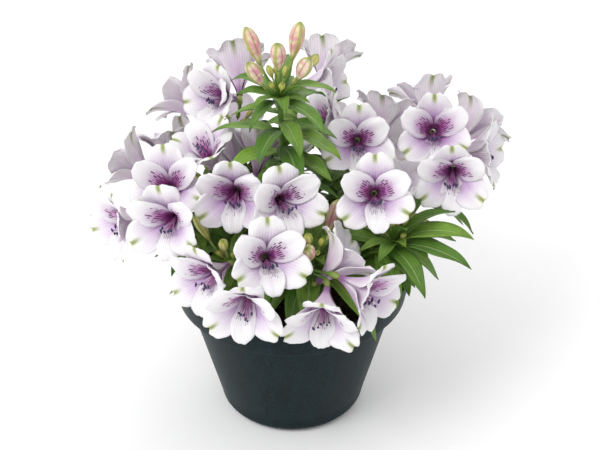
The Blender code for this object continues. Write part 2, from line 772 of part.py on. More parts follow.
def cut_socket(soil, stem, foot, tools):
    """Cuts a stem's socket out of the soil, wider than the stem by the clearance."""
    bpy.ops.mesh.primitive_cylinder_add(
        vertices=8,
        radius=STEM_DIAMETER / 2 + 2 * CLEARANCE,
        depth=2 * STEM_DEPTH_IN_SOIL,
        location=(foot[0], foot[1], foot[2] - CLEARANCE + STEM_DEPTH_IN_SOIL),
    )
    cutter = as_cutter(bpy.context.object)
    cutter.name = f"socket_cutter_{stem}"
    move_to(cutter, tools)
    boolean(soil, cutter, "DIFFERENCE")


def main():
    """Builds the plant from the pot outwards: what is made first is kept clear of by what follows."""
    clear_scene()
    group = collection("potted_alstroemeria")
    tools = collection("cutters")
    green = material("leaf_green", (0.060, 0.165, 0.030), 0.45)
    white = material("petal_white", (0.80, 0.74, 0.82), 0.55)
    bud_skin = material("bud_pink_green", (0.55, 0.48, 0.20), 0.50)
    plastic = material("pot_plastic", (0.018, 0.035, 0.035), 0.45)
    earth = material("potting_soil", (0.030, 0.020, 0.013), 0.95)

    pot = make_pot(group, tools, plastic)
    soil = make_soil(group, earth)
    trees = [skin(*surface_of(pot)), skin(*surface_of(soil))]
    small_buds, bud_trees, bud_ends = make_buds(group, tools, bud_skin)
    lines = {stem: stem_line(stem) for stem in STEMS}
    wood, wood_trees = make_main_stems(tools, lines)
    thin_trees = bud_trees + [tree for stem in STEMS for tree in wood_trees[stem]]
    flower_ends = make_flowers(group, white, trees, thin_trees)
    stalk_ends = {stem: flower_ends[stem] + bud_ends[stem] for stem in STEMS}
    add_stalks(tools, lines, wood, wood_trees, stalk_ends, trees, bud_trees)
    for stem in STEMS:
        wood[stem] += small_buds[stem]
    grow_leaves(tools, lines, wood, wood_trees, trees + bud_trees)
    for stem, line in lines.items():
        join_all(f"stem_{stem}", wood[stem], group, green)
        cut_socket(soil, stem, line[0], tools)


main()
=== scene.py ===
import math

import bmesh
import bpy
import numpy as np
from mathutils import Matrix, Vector
from mathutils.bvhtree import BVHTree


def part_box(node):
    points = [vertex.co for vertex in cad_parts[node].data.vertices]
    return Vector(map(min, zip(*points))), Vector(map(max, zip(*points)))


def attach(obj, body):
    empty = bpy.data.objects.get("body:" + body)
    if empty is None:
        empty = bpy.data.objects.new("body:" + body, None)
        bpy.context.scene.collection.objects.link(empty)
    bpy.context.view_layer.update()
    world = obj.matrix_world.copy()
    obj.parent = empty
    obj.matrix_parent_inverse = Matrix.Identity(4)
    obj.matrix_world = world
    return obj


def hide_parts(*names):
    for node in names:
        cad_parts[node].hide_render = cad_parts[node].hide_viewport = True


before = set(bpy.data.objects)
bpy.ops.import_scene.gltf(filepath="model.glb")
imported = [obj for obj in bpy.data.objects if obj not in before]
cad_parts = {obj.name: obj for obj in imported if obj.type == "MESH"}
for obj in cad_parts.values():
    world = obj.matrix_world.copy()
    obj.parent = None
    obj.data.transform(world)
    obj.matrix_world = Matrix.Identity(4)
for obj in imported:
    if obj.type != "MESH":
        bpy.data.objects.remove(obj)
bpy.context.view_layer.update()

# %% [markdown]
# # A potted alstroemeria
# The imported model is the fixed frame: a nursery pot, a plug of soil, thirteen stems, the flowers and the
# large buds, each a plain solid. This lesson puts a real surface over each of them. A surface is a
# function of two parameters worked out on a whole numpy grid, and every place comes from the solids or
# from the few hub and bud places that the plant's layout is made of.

MM = 0.001
POT_LOW, POT_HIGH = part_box("pot")
POT_HEIGHT = POT_HIGH.z
RIM_RADIUS = (POT_HIGH.x - POT_LOW.x) / 2
print("pot", round(POT_HEIGHT, 4), "high, rim radius", round(RIM_RADIUS, 4))

# %% [markdown]
# ## Camera, light and floor
# The plant is seen from a little above, as on a low table: the camera climbs 33 degrees over the
# horizon and stands 0.9 m from the pot's mouth. Turning the camera body puts the pot low in the picture,
# so no lens shift is needed. A bright, even sky makes soft studio light, one large soft lamp from the
# upper left gives the petals their form, and a weaker one behind lights their rims.

# %% Camera
CAMERA_CLIMB = math.radians(33.4)
CAMERA_REACH = 0.900
SENSOR_WIDTH = 36.0
FOCAL_WIDTHS = 1136.7 / 600
AIM_UP = math.radians(1.76)
AIM_RIGHT = math.radians(0.50)


def make_camera():
    """A camera aimed at the pot's mouth, then tipped up and turned right by the two aim angles."""
    lens = bpy.data.cameras.new("studio_camera")
    lens.sensor_width = SENSOR_WIDTH
    lens.lens = SENSOR_WIDTH * FOCAL_WIDTHS
    lens.clip_start = 0.01
    camera = bpy.data.objects.new("studio_camera", lens)
    back = Vector((0.0, -math.cos(CAMERA_CLIMB), math.sin(CAMERA_CLIMB)))
    camera.location = Vector((0.0, 0.0, POT_HEIGHT)) + back * CAMERA_REACH
    camera.rotation_euler = (math.pi / 2 - CAMERA_CLIMB + AIM_UP, 0.0, -AIM_RIGHT)
    bpy.context.scene.collection.objects.link(camera)
    bpy.context.scene.camera = camera


make_camera()

# %% Lamps and sky
SKY_STRENGTH = 0.86
LAMP_TARGET = Vector((0.0, 0.0, 0.2))
LAMPS = [
    ("key_lamp", Vector((-0.8, -0.8, 1.4)), 0.7, 13.0),
    ("back_lamp", Vector((0.5, 1.2, 1.3)), 1.0, 6.0),
]


def make_lamp(name, place, size, watts):
    """A square soft lamp at a place, facing the plant."""
    light = bpy.data.lights.new(name, "AREA")
    light.size = size
    light.energy = watts
    lamp = bpy.data.objects.new(name, light)
    lamp.location = place
    lamp.rotation_euler = (LAMP_TARGET - place).to_track_quat("-Z", "Y").to_euler()
    bpy.context.scene.collection.objects.link(lamp)


def make_sky():
    """An even white sky."""
    sky = bpy.data.worlds.new("soft_sky")
    sky.use_nodes = True
    background = sky.node_tree.nodes["Background"]
    background.inputs["Color"].default_value = (1.0, 1.0, 1.0, 1.0)
    background.inputs["Strength"].default_value = SKY_STRENGTH
    bpy.context.scene.world = sky


make_sky()
for lamp_row in LAMPS:
    make_lamp(*lamp_row)
bpy.context.scene.view_settings.view_transform = "Standard"
print(len(LAMPS), "lamps and a sky of strength", SKY_STRENGTH)

# %% [markdown]
# ## Small tools
# A material's colours are given as sRGB hex and turned to linear in one place, and one function adds a
# node with its settings and links. Nearly every colour here is laid in coats over a ground, each coat
# held back by a mask, as a painter would glaze it. The masks are products of smooth steps along and
# across the piece's own surface.


# %% Colours and nodes
def linear(code):
    """The linear colour of an sRGB hex code."""
    values = [int(code[i : i + 2], 16) / 255 for i in (1, 3, 5)]
    return tuple(v / 12.92 if v <= 0.04045 else ((v + 0.055) / 1.055) ** 2.4 for v in values) + (1.0,)


def add_node(tree, kind, inputs=(), output=None, **settings):
    """Adds a node of a kind, makes its settings, fills its inputs and gives one of its outputs.

    inputs is a list in the order of the rows that the node shows, or a dictionary by row name. A socket
    is linked, and a number or a colour is set. The output is the first that shows, unless it is named.
    """
    node = tree.nodes.new("ShaderNode" + kind)
    for name, value in settings.items():
        setattr(node, name, value)
    rows = [socket for socket in node.inputs if socket.enabled]
    pairs = zip(rows, inputs)
    if isinstance(inputs, dict):
        pairs = [(row, inputs[row.name]) for row in rows if row.name in inputs]
    for socket, value in pairs:
        if isinstance(value, bpy.types.NodeSocket):
            tree.links.new(value, socket)
        else:
            socket.default_value = value
    return node.outputs[output] if output else next(socket for socket in node.outputs if socket.enabled)


def new_material(name, roughness, specular):
    """A material with a Principled shader: its tree, its shader and the places on the object, in metres."""
    mat = bpy.data.materials.new(name)
    mat.use_nodes = True
    tree = mat.node_tree
    shader = tree.nodes["Principled BSDF"]
    shader.inputs["Roughness"].default_value = roughness
    shader.inputs["Specular IOR Level"].default_value = specular
    return mat, tree, shader, add_node(tree, "TexCoord", output="Object")


def own_surface(tree):
    """What a piece's surface says of a point: u along it and v across it, from 0 to 1; how far the point
    is from the middle, 0, to the rim, 1; and the tone of its own leaf, petal or bud."""
    place = add_node(tree, "UVMap", uv_map="Surface")
    u = add_node(tree, "SeparateXYZ", [place], "X")
    v = add_node(tree, "SeparateXYZ", [place], "Y")
    side = add_node(tree, "Math", [v, 0.5], operation="SUBTRACT")
    side = add_node(tree, "Math", [side], operation="ABSOLUTE")
    away = add_node(tree, "Math", [side, 2.0], operation="MULTIPLY")
    return u, v, away, add_node(tree, "Attribute", output="Fac", attribute_name="tone")


def mask_of(tree, *steps):
    """The product of smooth steps, each given as (value, where it is 0, where it is 1)."""
    mask = 1.0
    for step in steps:
        smooth = add_node(tree, "MapRange", step, interpolation_type="SMOOTHSTEP")
        mask = add_node(tree, "Math", [smooth, mask], operation="MULTIPLY")
    return mask


def lay_coats(tree, ground, *coats):
    """The ground colour under coats laid in turn, each given as (mask, strength, sRGB hex)."""
    colour = linear(ground)
    for mask, strength, code in coats:
        share = add_node(tree, "Math", [mask, strength], operation="MULTIPLY")
        colour = add_node(tree, "Mix", [share, colour, linear(code)], data_type="RGBA")
    return colour


def waves(tree, across, count, operation="SINE"):
    """A wave between -1 and 1 that comes a number of times across the surface."""
    turn = add_node(tree, "Math", [across, 2 * math.pi * count], operation="MULTIPLY")
    return add_node(tree, "Math", [turn], operation=operation)


def join_up(tree, shader, colour, height, rise):
    """Gives the shader its colour, and a relief in which a height of 1 stands for a rise in metres."""
    tree.links.new(colour, shader.inputs["Base Color"])
    relief = add_node(tree, "Bump", {"Height": height, "Distance": rise})
    tree.links.new(relief, shader.inputs["Normal"])


# %% [markdown]
# ## Grids and pieces
# A surface is a grid of points with a (u, v) pair for each, and several grids join into one piece. Rings
# and poles that come back to one point are merged afterwards, so that seams and poles are closed. A
# petal or a leaf is a sheet, and gets its wall from a Solidify modifier.

# %% Grids
MERGE_REACH = 0.000002


def grid_part(points, slot=0, tone=0.5, flip=False):
    """One grid of points as points, quads, (u, v) pairs, tones and material places.

    Each face joins a point with its neighbours along and across; flip turns the faces over.
    """
    rows, columns = points.shape[:2]
    index = np.arange(rows * columns).reshape(rows, columns)
    corners = [index[:-1, :-1], index[1:, :-1], index[1:, 1:], index[:-1, 1:]]
    quads = np.stack(corners, axis=-1).reshape(-1, 4)
    if flip:
        quads = quads[:, ::-1]
    u, v = np.meshgrid(np.linspace(0, 1, rows), np.linspace(0, 1, columns), indexing="ij")
    uv = np.stack([u, v], axis=-1).reshape(-1, 2)
    return points.reshape(-1, 3), quads, uv, np.full(rows * columns, tone), np.full(len(quads), slot)


def turned_points(profile, turns):
    """A profile of (radius, height) rows carried once round the upright axis, closed on its first row."""
    profile = np.asarray(profile, float)
    angle = np.linspace(0.0, 2 * np.pi, turns + 1)
    radius, height = profile[:, :1], profile[:, 1:]
    points = np.stack([radius * np.cos(angle), radius * np.sin(angle), height + 0 * angle], axis=-1)
    points[:, -1] = points[:, 0]
    return points


def swept_part(path, radii, sides=8, ribs=0, rib_height=0.0, slot=0, tone=0.5):
    """A round tube along a path, with its ends drawn in to points.

    At each point of the path two vectors square to it carry a circle; ribs waves the circle's radius.
    """
    path = np.asarray(path, float)
    path = np.vstack([path[:1], path, path[-1:]])
    radii = np.concatenate([[0.0], radii, [0.0]])
    along = np.gradient(path[1:-1], axis=0)
    along = np.vstack([along[:1], along, along[-1:]])
    along /= np.linalg.norm(along, axis=1, keepdims=True)
    least = np.eye(3)[np.argmin(np.abs(path[-1] - path[0]))]
    first = np.cross(along, least)
    first /= np.linalg.norm(first, axis=1, keepdims=True)
    second = np.cross(along, first)
    angle = np.linspace(0, 2 * np.pi, sides + 1)
    wave = radii[:, None] * (1 + rib_height * np.cos(ribs * angle))
    circle = np.cos(angle)[None, :, None] * first[:, None] + np.sin(angle)[None, :, None] * second[:, None]
    points = path[:, None] + wave[..., None] * circle
    points[:, -1] = points[:, 0]
    return grid_part(points, slot=slot, tone=tone, flip=True)


# %% Pieces
def fill_mesh(name, parts):
    """One mesh from grid parts, with its surface coordinates, tones and material places."""
    starts = np.cumsum([0] + [len(part[0]) for part in parts[:-1]])
    points, _, uv, tones, slots = (np.concatenate(rows) for rows in zip(*parts))
    quads = np.concatenate([part[1] + start for part, start in zip(parts, starts)])
    mesh = bpy.data.meshes.new(name)
    mesh.vertices.add(len(points))
    mesh.vertices.foreach_set("co", points.astype(np.float32).ravel())
    mesh.loops.add(quads.size)
    mesh.loops.foreach_set("vertex_index", quads.astype(np.int32).ravel())
    mesh.polygons.add(len(quads))
    mesh.polygons.foreach_set("loop_start", np.arange(0, quads.size, 4, dtype=np.int32))
    mesh.polygons.foreach_set("material_index", slots.astype(np.int32))
    mesh.update(calc_edges=True)
    layer = mesh.uv_layers.new(name="Surface")
    layer.data.foreach_set("uv", uv[quads.ravel()].astype(np.float32).ravel())
    tone = mesh.attributes.new("tone", "FLOAT", "POINT")
    tone.data.foreach_set("value", tones.astype(np.float32))
    return mesh


def mend_mesh(mesh, job):
    """Opens a mesh for one job of mesh editing, and puts the result back."""
    work = bmesh.new()
    work.from_mesh(mesh)
    job(work)
    work.to_mesh(mesh)
    work.free()


def close_seams(work):
    """Merges the points of seams and poles, and takes out the faces that this leaves without area."""
    bmesh.ops.remove_doubles(work, verts=work.verts, dist=MERGE_REACH)
    bmesh.ops.dissolve_degenerate(work, edges=work.edges, dist=MERGE_REACH)


def make_piece(name, parts, materials, nodes=(), wall=None):
    """One mesh object from grid parts, riding on the root body and standing for the given nodes.

    wall is (thickness, which side it grows on, how many places further on its back's material is).
    """
    mesh = fill_mesh(name, parts)
    mend_mesh(mesh, close_seams)
    mesh.shade_smooth()
    for mat in materials:
        mesh.materials.append(mat)
    piece = bpy.data.objects.new(name, mesh)
    bpy.context.scene.collection.objects.link(piece)
    if wall:
        skin = piece.modifiers.new("Wall", "SOLIDIFY")
        skin.thickness, skin.offset, skin.material_offset = wall
    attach(piece, "root")
    if nodes:
        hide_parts(*nodes)
    return piece


# %% [markdown]
# ## The plant's layout
# A stem's umbel has a hub, in millimetres from the middle of the pot's mouth. Each of its flowers has a
# direction that it faces: a heading, in degrees round from the right, and a climb. Each of its buds has
# a middle, a length and a width. The flowers' own places are read from their solids, because they were
# settled apart from each other after they were laid out.

# %% The plant's layout
# Each stem: its hub, then its flowers' (heading, climb), then its buds' (x, y, z, length, width).
STEMS = {
    "left": (
        (-88, 2, 36),
        [(-95, 40), (-105, 15), (-145, 5), (165, 30), (105, 65)],
        [],
    ),
    "centre_left": ((-34, 0, 40), [(-98, 15), (-72, 20), (-130, 70), (130, 30), (75, 55)], []),
    "back_left": ((-48, 92, 66), [(160, 35), (-130, 25), (95, 40)], []),
    "top": (
        (-8, 0, 142),
        [],
        [(4, 2, 184, 30, 11), (-27, 8, 178, 30, 11), (-9, -17, 180, 26, 11), (-25, -14, 166, 26, 10),
         (9, -10, 168, 22, 11), (16, 10, 165, 13, 7)],
    ),
    "back_right": ((10, 78, 84), [(75, 45), (-10, 10)], []),
    "right": ((52, 42, 56), [(-92, 25), (-165, 35), (60, 55)], []),
    "far_right": ((112, 34, 50), [(-97, 28), (-100, 8), (-20, 75), (35, 35), (-15, 15), (105, 50)], []),
    "middle_right": (
        (78, -22, 34),
        [(-92, 28)],
        [(84, -38, 66, 18, 8), (92, -40, 50, 10, 7), (98, -26, 46, 16, 10)],
    ),
    "front_right": (
        (16, -62, 40),
        [(15, 40), (-40, -5), (-98, -20)],
        [(30, -42, 64, 30, 11), (12, -86, 62, 22, 10), (12, -68, 62, 12, 7)],
    ),
    "front_left": (
        (-42, -48, 24),
        [(-125, 5), (-100, -10), (-78, 30)],
        [(-66, -38, 54, 24, 8), (-74, -48, 42, 24, 8), (-48, -72, 60, 14, 7), (-12, -44, 56, 18, 7)],
    ),
    "rear_left": ((-70, 74, 26), [(140, 10), (95, 5)], []),
    "rear_right": ((42, 82, 28), [(85, 5), (50, 5)], []),
    "leafy": ((76, -48, 46), [], []),
}

# %% Leaves listed one by one
# Each leaf: its stem, share up the stem, heading, climb, length, width and droop, in degrees and millimetres.
CHOSEN_LEAVES = [
    ("leafy", 0.98, -10, 30, 62, 18, 70), ("leafy", 0.94, -32, 12, 66, 18, 50),
    ("leafy", 0.90, -62, 20, 56, 16, 75), ("leafy", 0.99, 20, 45, 52, 15, 60),
    ("leafy", 0.86, -5, -5, 50, 15, 55), ("leafy", 0.99, -80, 60, 42, 12, 60),
    ("leafy", 0.82, -45, -10, 44, 14, 60), ("leafy", 0.97, 60, 60, 44, 13, 40),
    ("top", 0.995, -25, 50, 48, 14, 70), ("top", 0.96, -48, 20, 50, 17, 60),
    ("top", 0.97, -130, 20, 38, 12, 80), ("top", 0.99, 150, 45, 46, 13, 80),
    ("top", 0.93, 40, 25, 46, 14, 60), ("top", 0.90, 175, 20, 44, 14, 60),
    ("top", 0.86, -70, 15, 44, 15, 60), ("top", 0.995, 80, 60, 44, 12, 70),
    ("front_left", 0.80, -165, 10, 60, 9, 70), ("front_left", 0.70, -150, 0, 56, 8, 60),
    ("front_left", 0.88, -178, 25, 50, 9, 80), ("front_right", 0.86, -42, -5, 76, 16, 55),
    ("front_right", 0.70, -80, 5, 60, 12, 70), ("right", 0.9, 70, 65, 46, 10, 20),
    ("far_right", 0.85, -35, 5, 56, 15, 50), ("far_right", 0.75, 0, 5, 54, 15, 60),
    ("top", 0.80, -110, 25, 50, 17, 60), ("top", 0.77, -30, 20, 52, 18, 60),
    ("top", 0.73, 20, 25, 50, 17, 60), ("top", 0.70, -75, 20, 52, 18, 60),
    ("top", 0.66, -150, 25, 48, 16, 60), ("top", 0.62, -45, 30, 52, 17, 60),
    ("top", 0.58, -100, 30, 50, 17, 60), ("top", 0.54, 0, 30, 50, 17, 60),
    ("back_right", 0.90, 20, 62, 46, 12, 30), ("back_right", 0.80, -60, 40, 50, 15, 50),
    ("front_right", 0.55, -105, 0, 60, 16, 60), ("front_right", 0.62, -135, 20, 54, 16, 60),
    ("front_right", 0.90, 75, 45, 50, 15, 60), ("front_right", 0.80, 130, 35, 52, 15, 60),
    ("front_right", 0.75, 30, 35, 50, 15, 60), ("front_left", 0.55, -75, 5, 56, 16, 60),
    ("front_left", 0.62, -40, 25, 54, 16, 60), ("front_left", 0.90, 30, 45, 50, 15, 60),
    ("front_left", 0.80, 90, 40, 50, 15, 60), ("left", 0.80, -80, 10, 56, 15, 50),
    ("left", 0.70, -50, 10, 56, 15, 50), ("middle_right", 0.95, -60, 40, 50, 16, 60),
    ("middle_right", 0.90, 0, 30, 54, 16, 60), ("middle_right", 0.80, -110, 20, 52, 16, 60),
    ("leafy", 0.76, -75, 0, 52, 16, 50), ("leafy", 0.72, 0, 10, 54, 16, 50),
    ("centre_left", 0.80, -60, 20, 54, 16, 50), ("centre_left", 0.72, -110, 15, 54, 16, 50),
]
LEAVES_TO_A_STEM = 11

# %% Sizes of flowers, stems and soil, in metres
FLOWER_WIDTH = 0.058
FLOWER_LENGTH = 0.048
FLOWER_NECK = 0.0044
OVARY_RADIUS = 0.0025
OVARY_END_RADIUS = 0.0017
STALK_RADIUS = 0.0010
STEM_RADIUS = 0.0021
STEM_DEPTH = 0.030
BASE_SPREAD = 0.058
SOIL_BELOW_RIM = 0.016
SOIL_DOME = 0.003
CLEARANCE = 0.0003
# A bud this long, in millimetres, has a solid of its own; a shorter one belongs to its stem's.
LARGE_BUD = 24
print(len(STEMS), "stems and", len(CHOSEN_LEAVES), "leaves set by hand")

# %% Places and curves
def direction(heading, climb):
    """Unit vector that heads the given degrees round from +X and climbs the given degrees."""
    a, b = np.radians(heading), np.radians(climb)
    return np.stack([np.cos(b) * np.cos(a), np.cos(b) * np.sin(a), np.sin(b) + 0 * a], axis=-1)


def from_mouth(x, y, z):
    """A layout place as a point in metres."""
    return np.array([x, y, z]) * MM + np.array([0.0, 0.0, POT_HEIGHT])


def node_points(name):
    """A solid's corners as an array."""
    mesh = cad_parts[name].data
    points = np.empty(len(mesh.vertices) * 3, np.float32)
    mesh.vertices.foreach_get("co", points)
    return points.reshape(-1, 3).astype(float)


def node_tree(name):
    """A solid's search tree."""
    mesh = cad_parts[name].data
    return BVHTree.FromPolygons([v.co for v in mesh.vertices], [p.vertices for p in mesh.polygons])


def bezier(points, shares):
    """Points of the cubic Bezier curve with four control points, at shares from 0 to 1."""
    t = np.asarray(shares, float)[:, None]
    a, b, c, d = (np.asarray(p, float) for p in points)
    return a * (1 - t) ** 3 + 3 * b * t * (1 - t) ** 2 + 3 * c * t**2 * (1 - t) + d * t**3


def soil_height(radius):
    """Height of the soil's shallow dome at a radius."""
    return POT_HEIGHT - SOIL_BELOW_RIM + SOIL_DOME * (1 - (radius / RIM_RADIUS) ** 2)


def stem_line(stem, count):
    """A stem's own points: straight up out of the soil, then a Bezier curve that leans to the hub."""
    hub = from_mouth(*STEMS[stem][0])
    plan = hub[:2]
    base_plan = plan * min(1.0, BASE_SPREAD / max(0.14, 2.0 * np.linalg.norm(plan)))
    ground = soil_height(np.linalg.norm(base_plan))
    foot = np.array([*base_plan, ground - STEM_DEPTH])
    soil_top = np.array([*base_plan, ground + 0.002])
    climb = hub[2] - ground
    lean = np.array([*(plan - base_plan) * 0.25, climb * 0.45])
    arrive = np.array([*(plan - base_plan) * -0.30, climb * -0.30])
    return np.vstack([foot, bezier((soil_top, soil_top + lean, hub + arrive, hub), np.linspace(0, 1, count))])


# %% Places of the flowers
def read_flowers():
    """Each flower's base, axis and opening, from its solid: the base is the corner furthest back along
    the axis, and the opening is how far the lobes reach compared with a full flower."""
    flowers = []
    for stem, (_, facings, _) in STEMS.items():
        for heading, climb in facings:
            name = f"flower_{len(flowers) + 1:02d}"
            axis = direction(heading, climb)
            points = node_points(name)
            along = points @ axis
            base = points[np.argmin(along)]
            middle = points.mean(axis=0)
            base = middle + axis * ((base - middle) @ axis) + axis * 0.0003
            offset = points - base
            reach = np.linalg.norm(offset - np.outer(offset @ axis, axis), axis=1).max()
            neck = FLOWER_NECK / 2
            opening = min(1.0, (reach - neck) / (FLOWER_WIDTH / 2 - neck))
            flowers.append({"name": name, "stem": stem, "axis": axis, "base": base, "opening": opening})
    return flowers


FLOWERS = read_flowers()
print(len(FLOWERS), "flowers, openings", sorted({round(f["opening"], 2) for f in FLOWERS}))

# %% [markdown]
# ## Petal materials
# An alstroemeria petal is a thin, matt sheet with a faint satin, whose colour lies in the cells and not
# on them. It is white at the rim, lilac towards the base and magenta in the throat. The two upper inner
# petals carry maroon dashes that follow the veins, and each outer petal has a green tip along its
# midrib. The pattern runs on the petal's own coordinates. Real veins are under 1 mm apart; here thirteen
# cross a petal of 20 to 28 mm, so that they show. Each vein's dashes are shifted by chance.


# %% Petal materials
VEINS = 13
PETAL_CLOUDS = 1 / (7 * MM)
DASHES_TO_A_VEIN = 5.5
VEIN_RISE = 0.25 * MM


def living_sheet(shader):
    """Lets a quarter of the light through a thin sheet of cells, and gives it a faint bloom."""
    shader.inputs["Sheen Weight"].default_value = 0.12
    shader.inputs["Subsurface Weight"].default_value = 0.25
    shader.inputs["Subsurface Radius"].default_value = (1.0, 0.8, 1.0)
    shader.inputs["Subsurface Scale"].default_value = 1.5 * MM


def dash_mask(tree, u, v, away, tone, reach):
    """Dashes along the veins: each vein is a column with a start of its own, cut where its dashes end,
    between the throat and a height about the reach, and away from the rims."""
    columns = add_node(tree, "Math", [v, float(VEINS)], operation="MULTIPLY")
    column = add_node(tree, "Math", [columns], operation="FLOOR")
    seed = add_node(tree, "Math", [tone, 57.0, column], operation="MULTIPLY_ADD")
    chance = add_node(tree, "TexWhiteNoise", [seed], noise_dimensions="1D")
    within = add_node(tree, "Math", [columns], operation="FRACT")
    within = add_node(tree, "Math", [within, 0.5], operation="SUBTRACT")
    within = add_node(tree, "Math", [within], operation="ABSOLUTE")
    start = add_node(tree, "Math", [chance, 9.0], operation="MULTIPLY")
    step = add_node(tree, "Math", [u, DASHES_TO_A_VEIN, start], operation="MULTIPLY_ADD")
    step = add_node(tree, "Math", [step], operation="FRACT")
    top = add_node(tree, "Math", [chance, 0.16, reach], operation="MULTIPLY_ADD")
    below = add_node(tree, "Math", [u, top], operation="LESS_THAN")
    along = [(step, 0.04, 0.16), (step, 0.80, 0.66), (u, 0.18, 0.24)]
    dashes = mask_of(tree, (within, 0.36, 0.20), (away, 0.78, 0.58), *along)
    return add_node(tree, "Math", [dashes, below], operation="MULTIPLY")


def petal_face(name, lilac_to, throat_to, dashes=0.0, reach=0.0, green=0.0, pink=0.0):
    """The inside of a petal: white, lilac up to a share of its length, magenta up to a lesser one.

    dashes, green and pink are how strongly the maroon dashes, the tip's mark and a pink flush show.
    """
    mat, tree, shader, place = new_material(name, 0.50, 0.35)
    u, v, away, tone = own_surface(tree)
    cloud = add_node(tree, "TexNoise", {"Vector": place, "Scale": PETAL_CLOUDS, "Detail": 3.0})
    drift = add_node(tree, "Math", [cloud, 0.20, -0.10], operation="MULTIPLY_ADD")
    uneven = add_node(tree, "Math", [u, drift], operation="ADD")
    own = add_node(tree, "Math", [tone, -0.16, uneven], operation="MULTIPLY_ADD")
    wave = waves(tree, v, VEINS)
    coats = [
        (cloud, 1.0, "#EDE8EE"),
        (mask_of(tree, (own, lilac_to, lilac_to * 0.25), (away, 1.35, 0.25)), 0.82, "#B985C8"),
        (mask_of(tree, (own, 0.70, 0.30), (away, 0.75, 0.15)), pink, "#C061AE"),
        (mask_of(tree, (own, throat_to, throat_to * 0.40)), 1.0, "#973287"),
        (mask_of(tree, (u, throat_to * 0.55, 0.05)), 1.0, "#6E1A5C"),
        (mask_of(tree, (wave, 0.55, 1.0), (u, 0.9, 0.3)), 0.30, "#A46FC2"),
    ]
    if dashes:
        coats.append((dash_mask(tree, u, v, away, tone, reach), dashes, "#4A1036"))
    if green:
        coats.append((mask_of(tree, (u, 0.74, 0.98), (away, 0.45, 0.05)), 0.45, "#D3D9A0"))
        coats.append((mask_of(tree, (u, 0.70, 0.92), (away, 0.20, 0.03)), green, "#7F9233"))
    colour = lay_coats(tree, "#F6F4F5", *coats)
    swell = add_node(tree, "Math", [cloud, 0.5], operation="MULTIPLY")
    ridges = add_node(tree, "Math", [mask_of(tree, (wave, 0.55, 1.0)), 0.6, swell], operation="MULTIPLY_ADD")
    join_up(tree, shader, colour, ridges, VEIN_RISE)
    living_sheet(shader)
    return mat


def petal_back(name, mauve, green=0.0):
    """The outside of a petal: white, with a mauve flush up the midrib from the base and a green tip."""
    mat, tree, shader, place = new_material(name, 0.55, 0.3)
    u, v, away, tone = own_surface(tree)
    cloud = add_node(tree, "TexNoise", {"Vector": place, "Scale": PETAL_CLOUDS, "Detail": 3.0})
    own = add_node(tree, "Math", [tone, -0.2, u], operation="MULTIPLY_ADD")
    vein = mask_of(tree, (waves(tree, v, VEINS), 0.4, 1.0))
    colour = lay_coats(
        tree,
        "#F9F7F7",
        (cloud, 1.0, "#F1ECF1"),
        (mask_of(tree, (own, 0.85, 0.10), (away, 1.4, 0.1)), mauve, "#BC7ABF"),
        (mask_of(tree, (u, 0.24, 0.04)), 0.8, "#8E4A92"),
        (mask_of(tree, (u, 0.48, 0.94), (away, 0.24, 0.05)), green, "#7F9233"),
        (vein, 0.18, "#B07FC8"),
    )
    join_up(tree, shader, colour, vein, 0.8 * VEIN_RISE)
    living_sheet(shader)
    return mat


# A petal's face is at its kind's place in this list, and its back is at the next.
PETAL_MATERIALS = [
    petal_face("petal_outer_face", lilac_to=0.84, throat_to=0.35, green=0.9),
    petal_back("petal_outer_back", mauve=0.58, green=0.9),
    petal_face("petal_dashed_face", lilac_to=0.80, throat_to=0.42, dashes=0.95, reach=0.56, pink=0.9),
    petal_back("petal_dashed_back", mauve=0.52),
    petal_face("petal_lower_face", lilac_to=0.56, throat_to=0.33, dashes=0.50, reach=0.52),
    petal_back("petal_lower_back", mauve=0.52),
]
print("petal materials:", ", ".join(mat.name for mat in PETAL_MATERIALS))

# %% [markdown]
# ## Petals
# Six petals stand round the flower's axis. The three outer ones are broad, with a notch at the tip; the
# three inner ones are narrower and stand a little inside them. A petal's midrib starts in the neck, and
# its distance from the axis grows as a power of the share along it, so that the flower is a narrow
# funnel that flares at its mouth. Across, the petal is wrapped round a circle that gets wider towards
# the tip, so that it clasps the throat and opens out flat; its rim is lightly ruffled.

# %% Petal shapes
PETAL_ROWS, PETAL_COLUMNS = 25, 15
WIDEST_AT = 0.70
ROUND_TIP = 0.17
PETAL_WALL = 0.35 * MM
# A wave's phase is drawn from about a full turn, in radians.
FULL_TURN = 6.28
# Length and reach as shares of the flower's, half width in metres, then flare, curl, inset and notch.
PETAL_KINDS = {
    "outer": (1.00, (0.98, 1.04), 0.0140, 1.50, 0.20, -0.0004, 0.075),
    "dashed": (0.98, (0.86, 0.94), 0.0108, 1.65, 0.15, 0.0016, 0.012),
    "lower": (0.92, (0.90, 0.98), 0.0092, 1.40, 0.22, 0.0016, 0.015),
}
PETAL_TURNS = {90: "outer", 210: "outer", 330: "outer", 150: "dashed", 30: "dashed", 270: "lower"}


def side_of(axis):
    """A level unit vector square to the axis."""
    side = np.cross([0.0, 0.0, 1.0], axis)
    if np.linalg.norm(side) < 0.05:
        side = np.array([1.0, 0.0, 0.0])
    return side / np.linalg.norm(side)


def to_world(points, base, axis, roll=0.0):
    """Points in a flower's own axes carried to its place: z along the axis, y up, x to the side."""
    side = side_of(axis)
    up = np.cross(axis, side)
    c, s = math.cos(roll), math.sin(roll)
    across, rise = c * side + s * up, c * up - s * side
    return base + points[..., :1] * across + points[..., 1:2] * rise + points[..., 2:] * axis


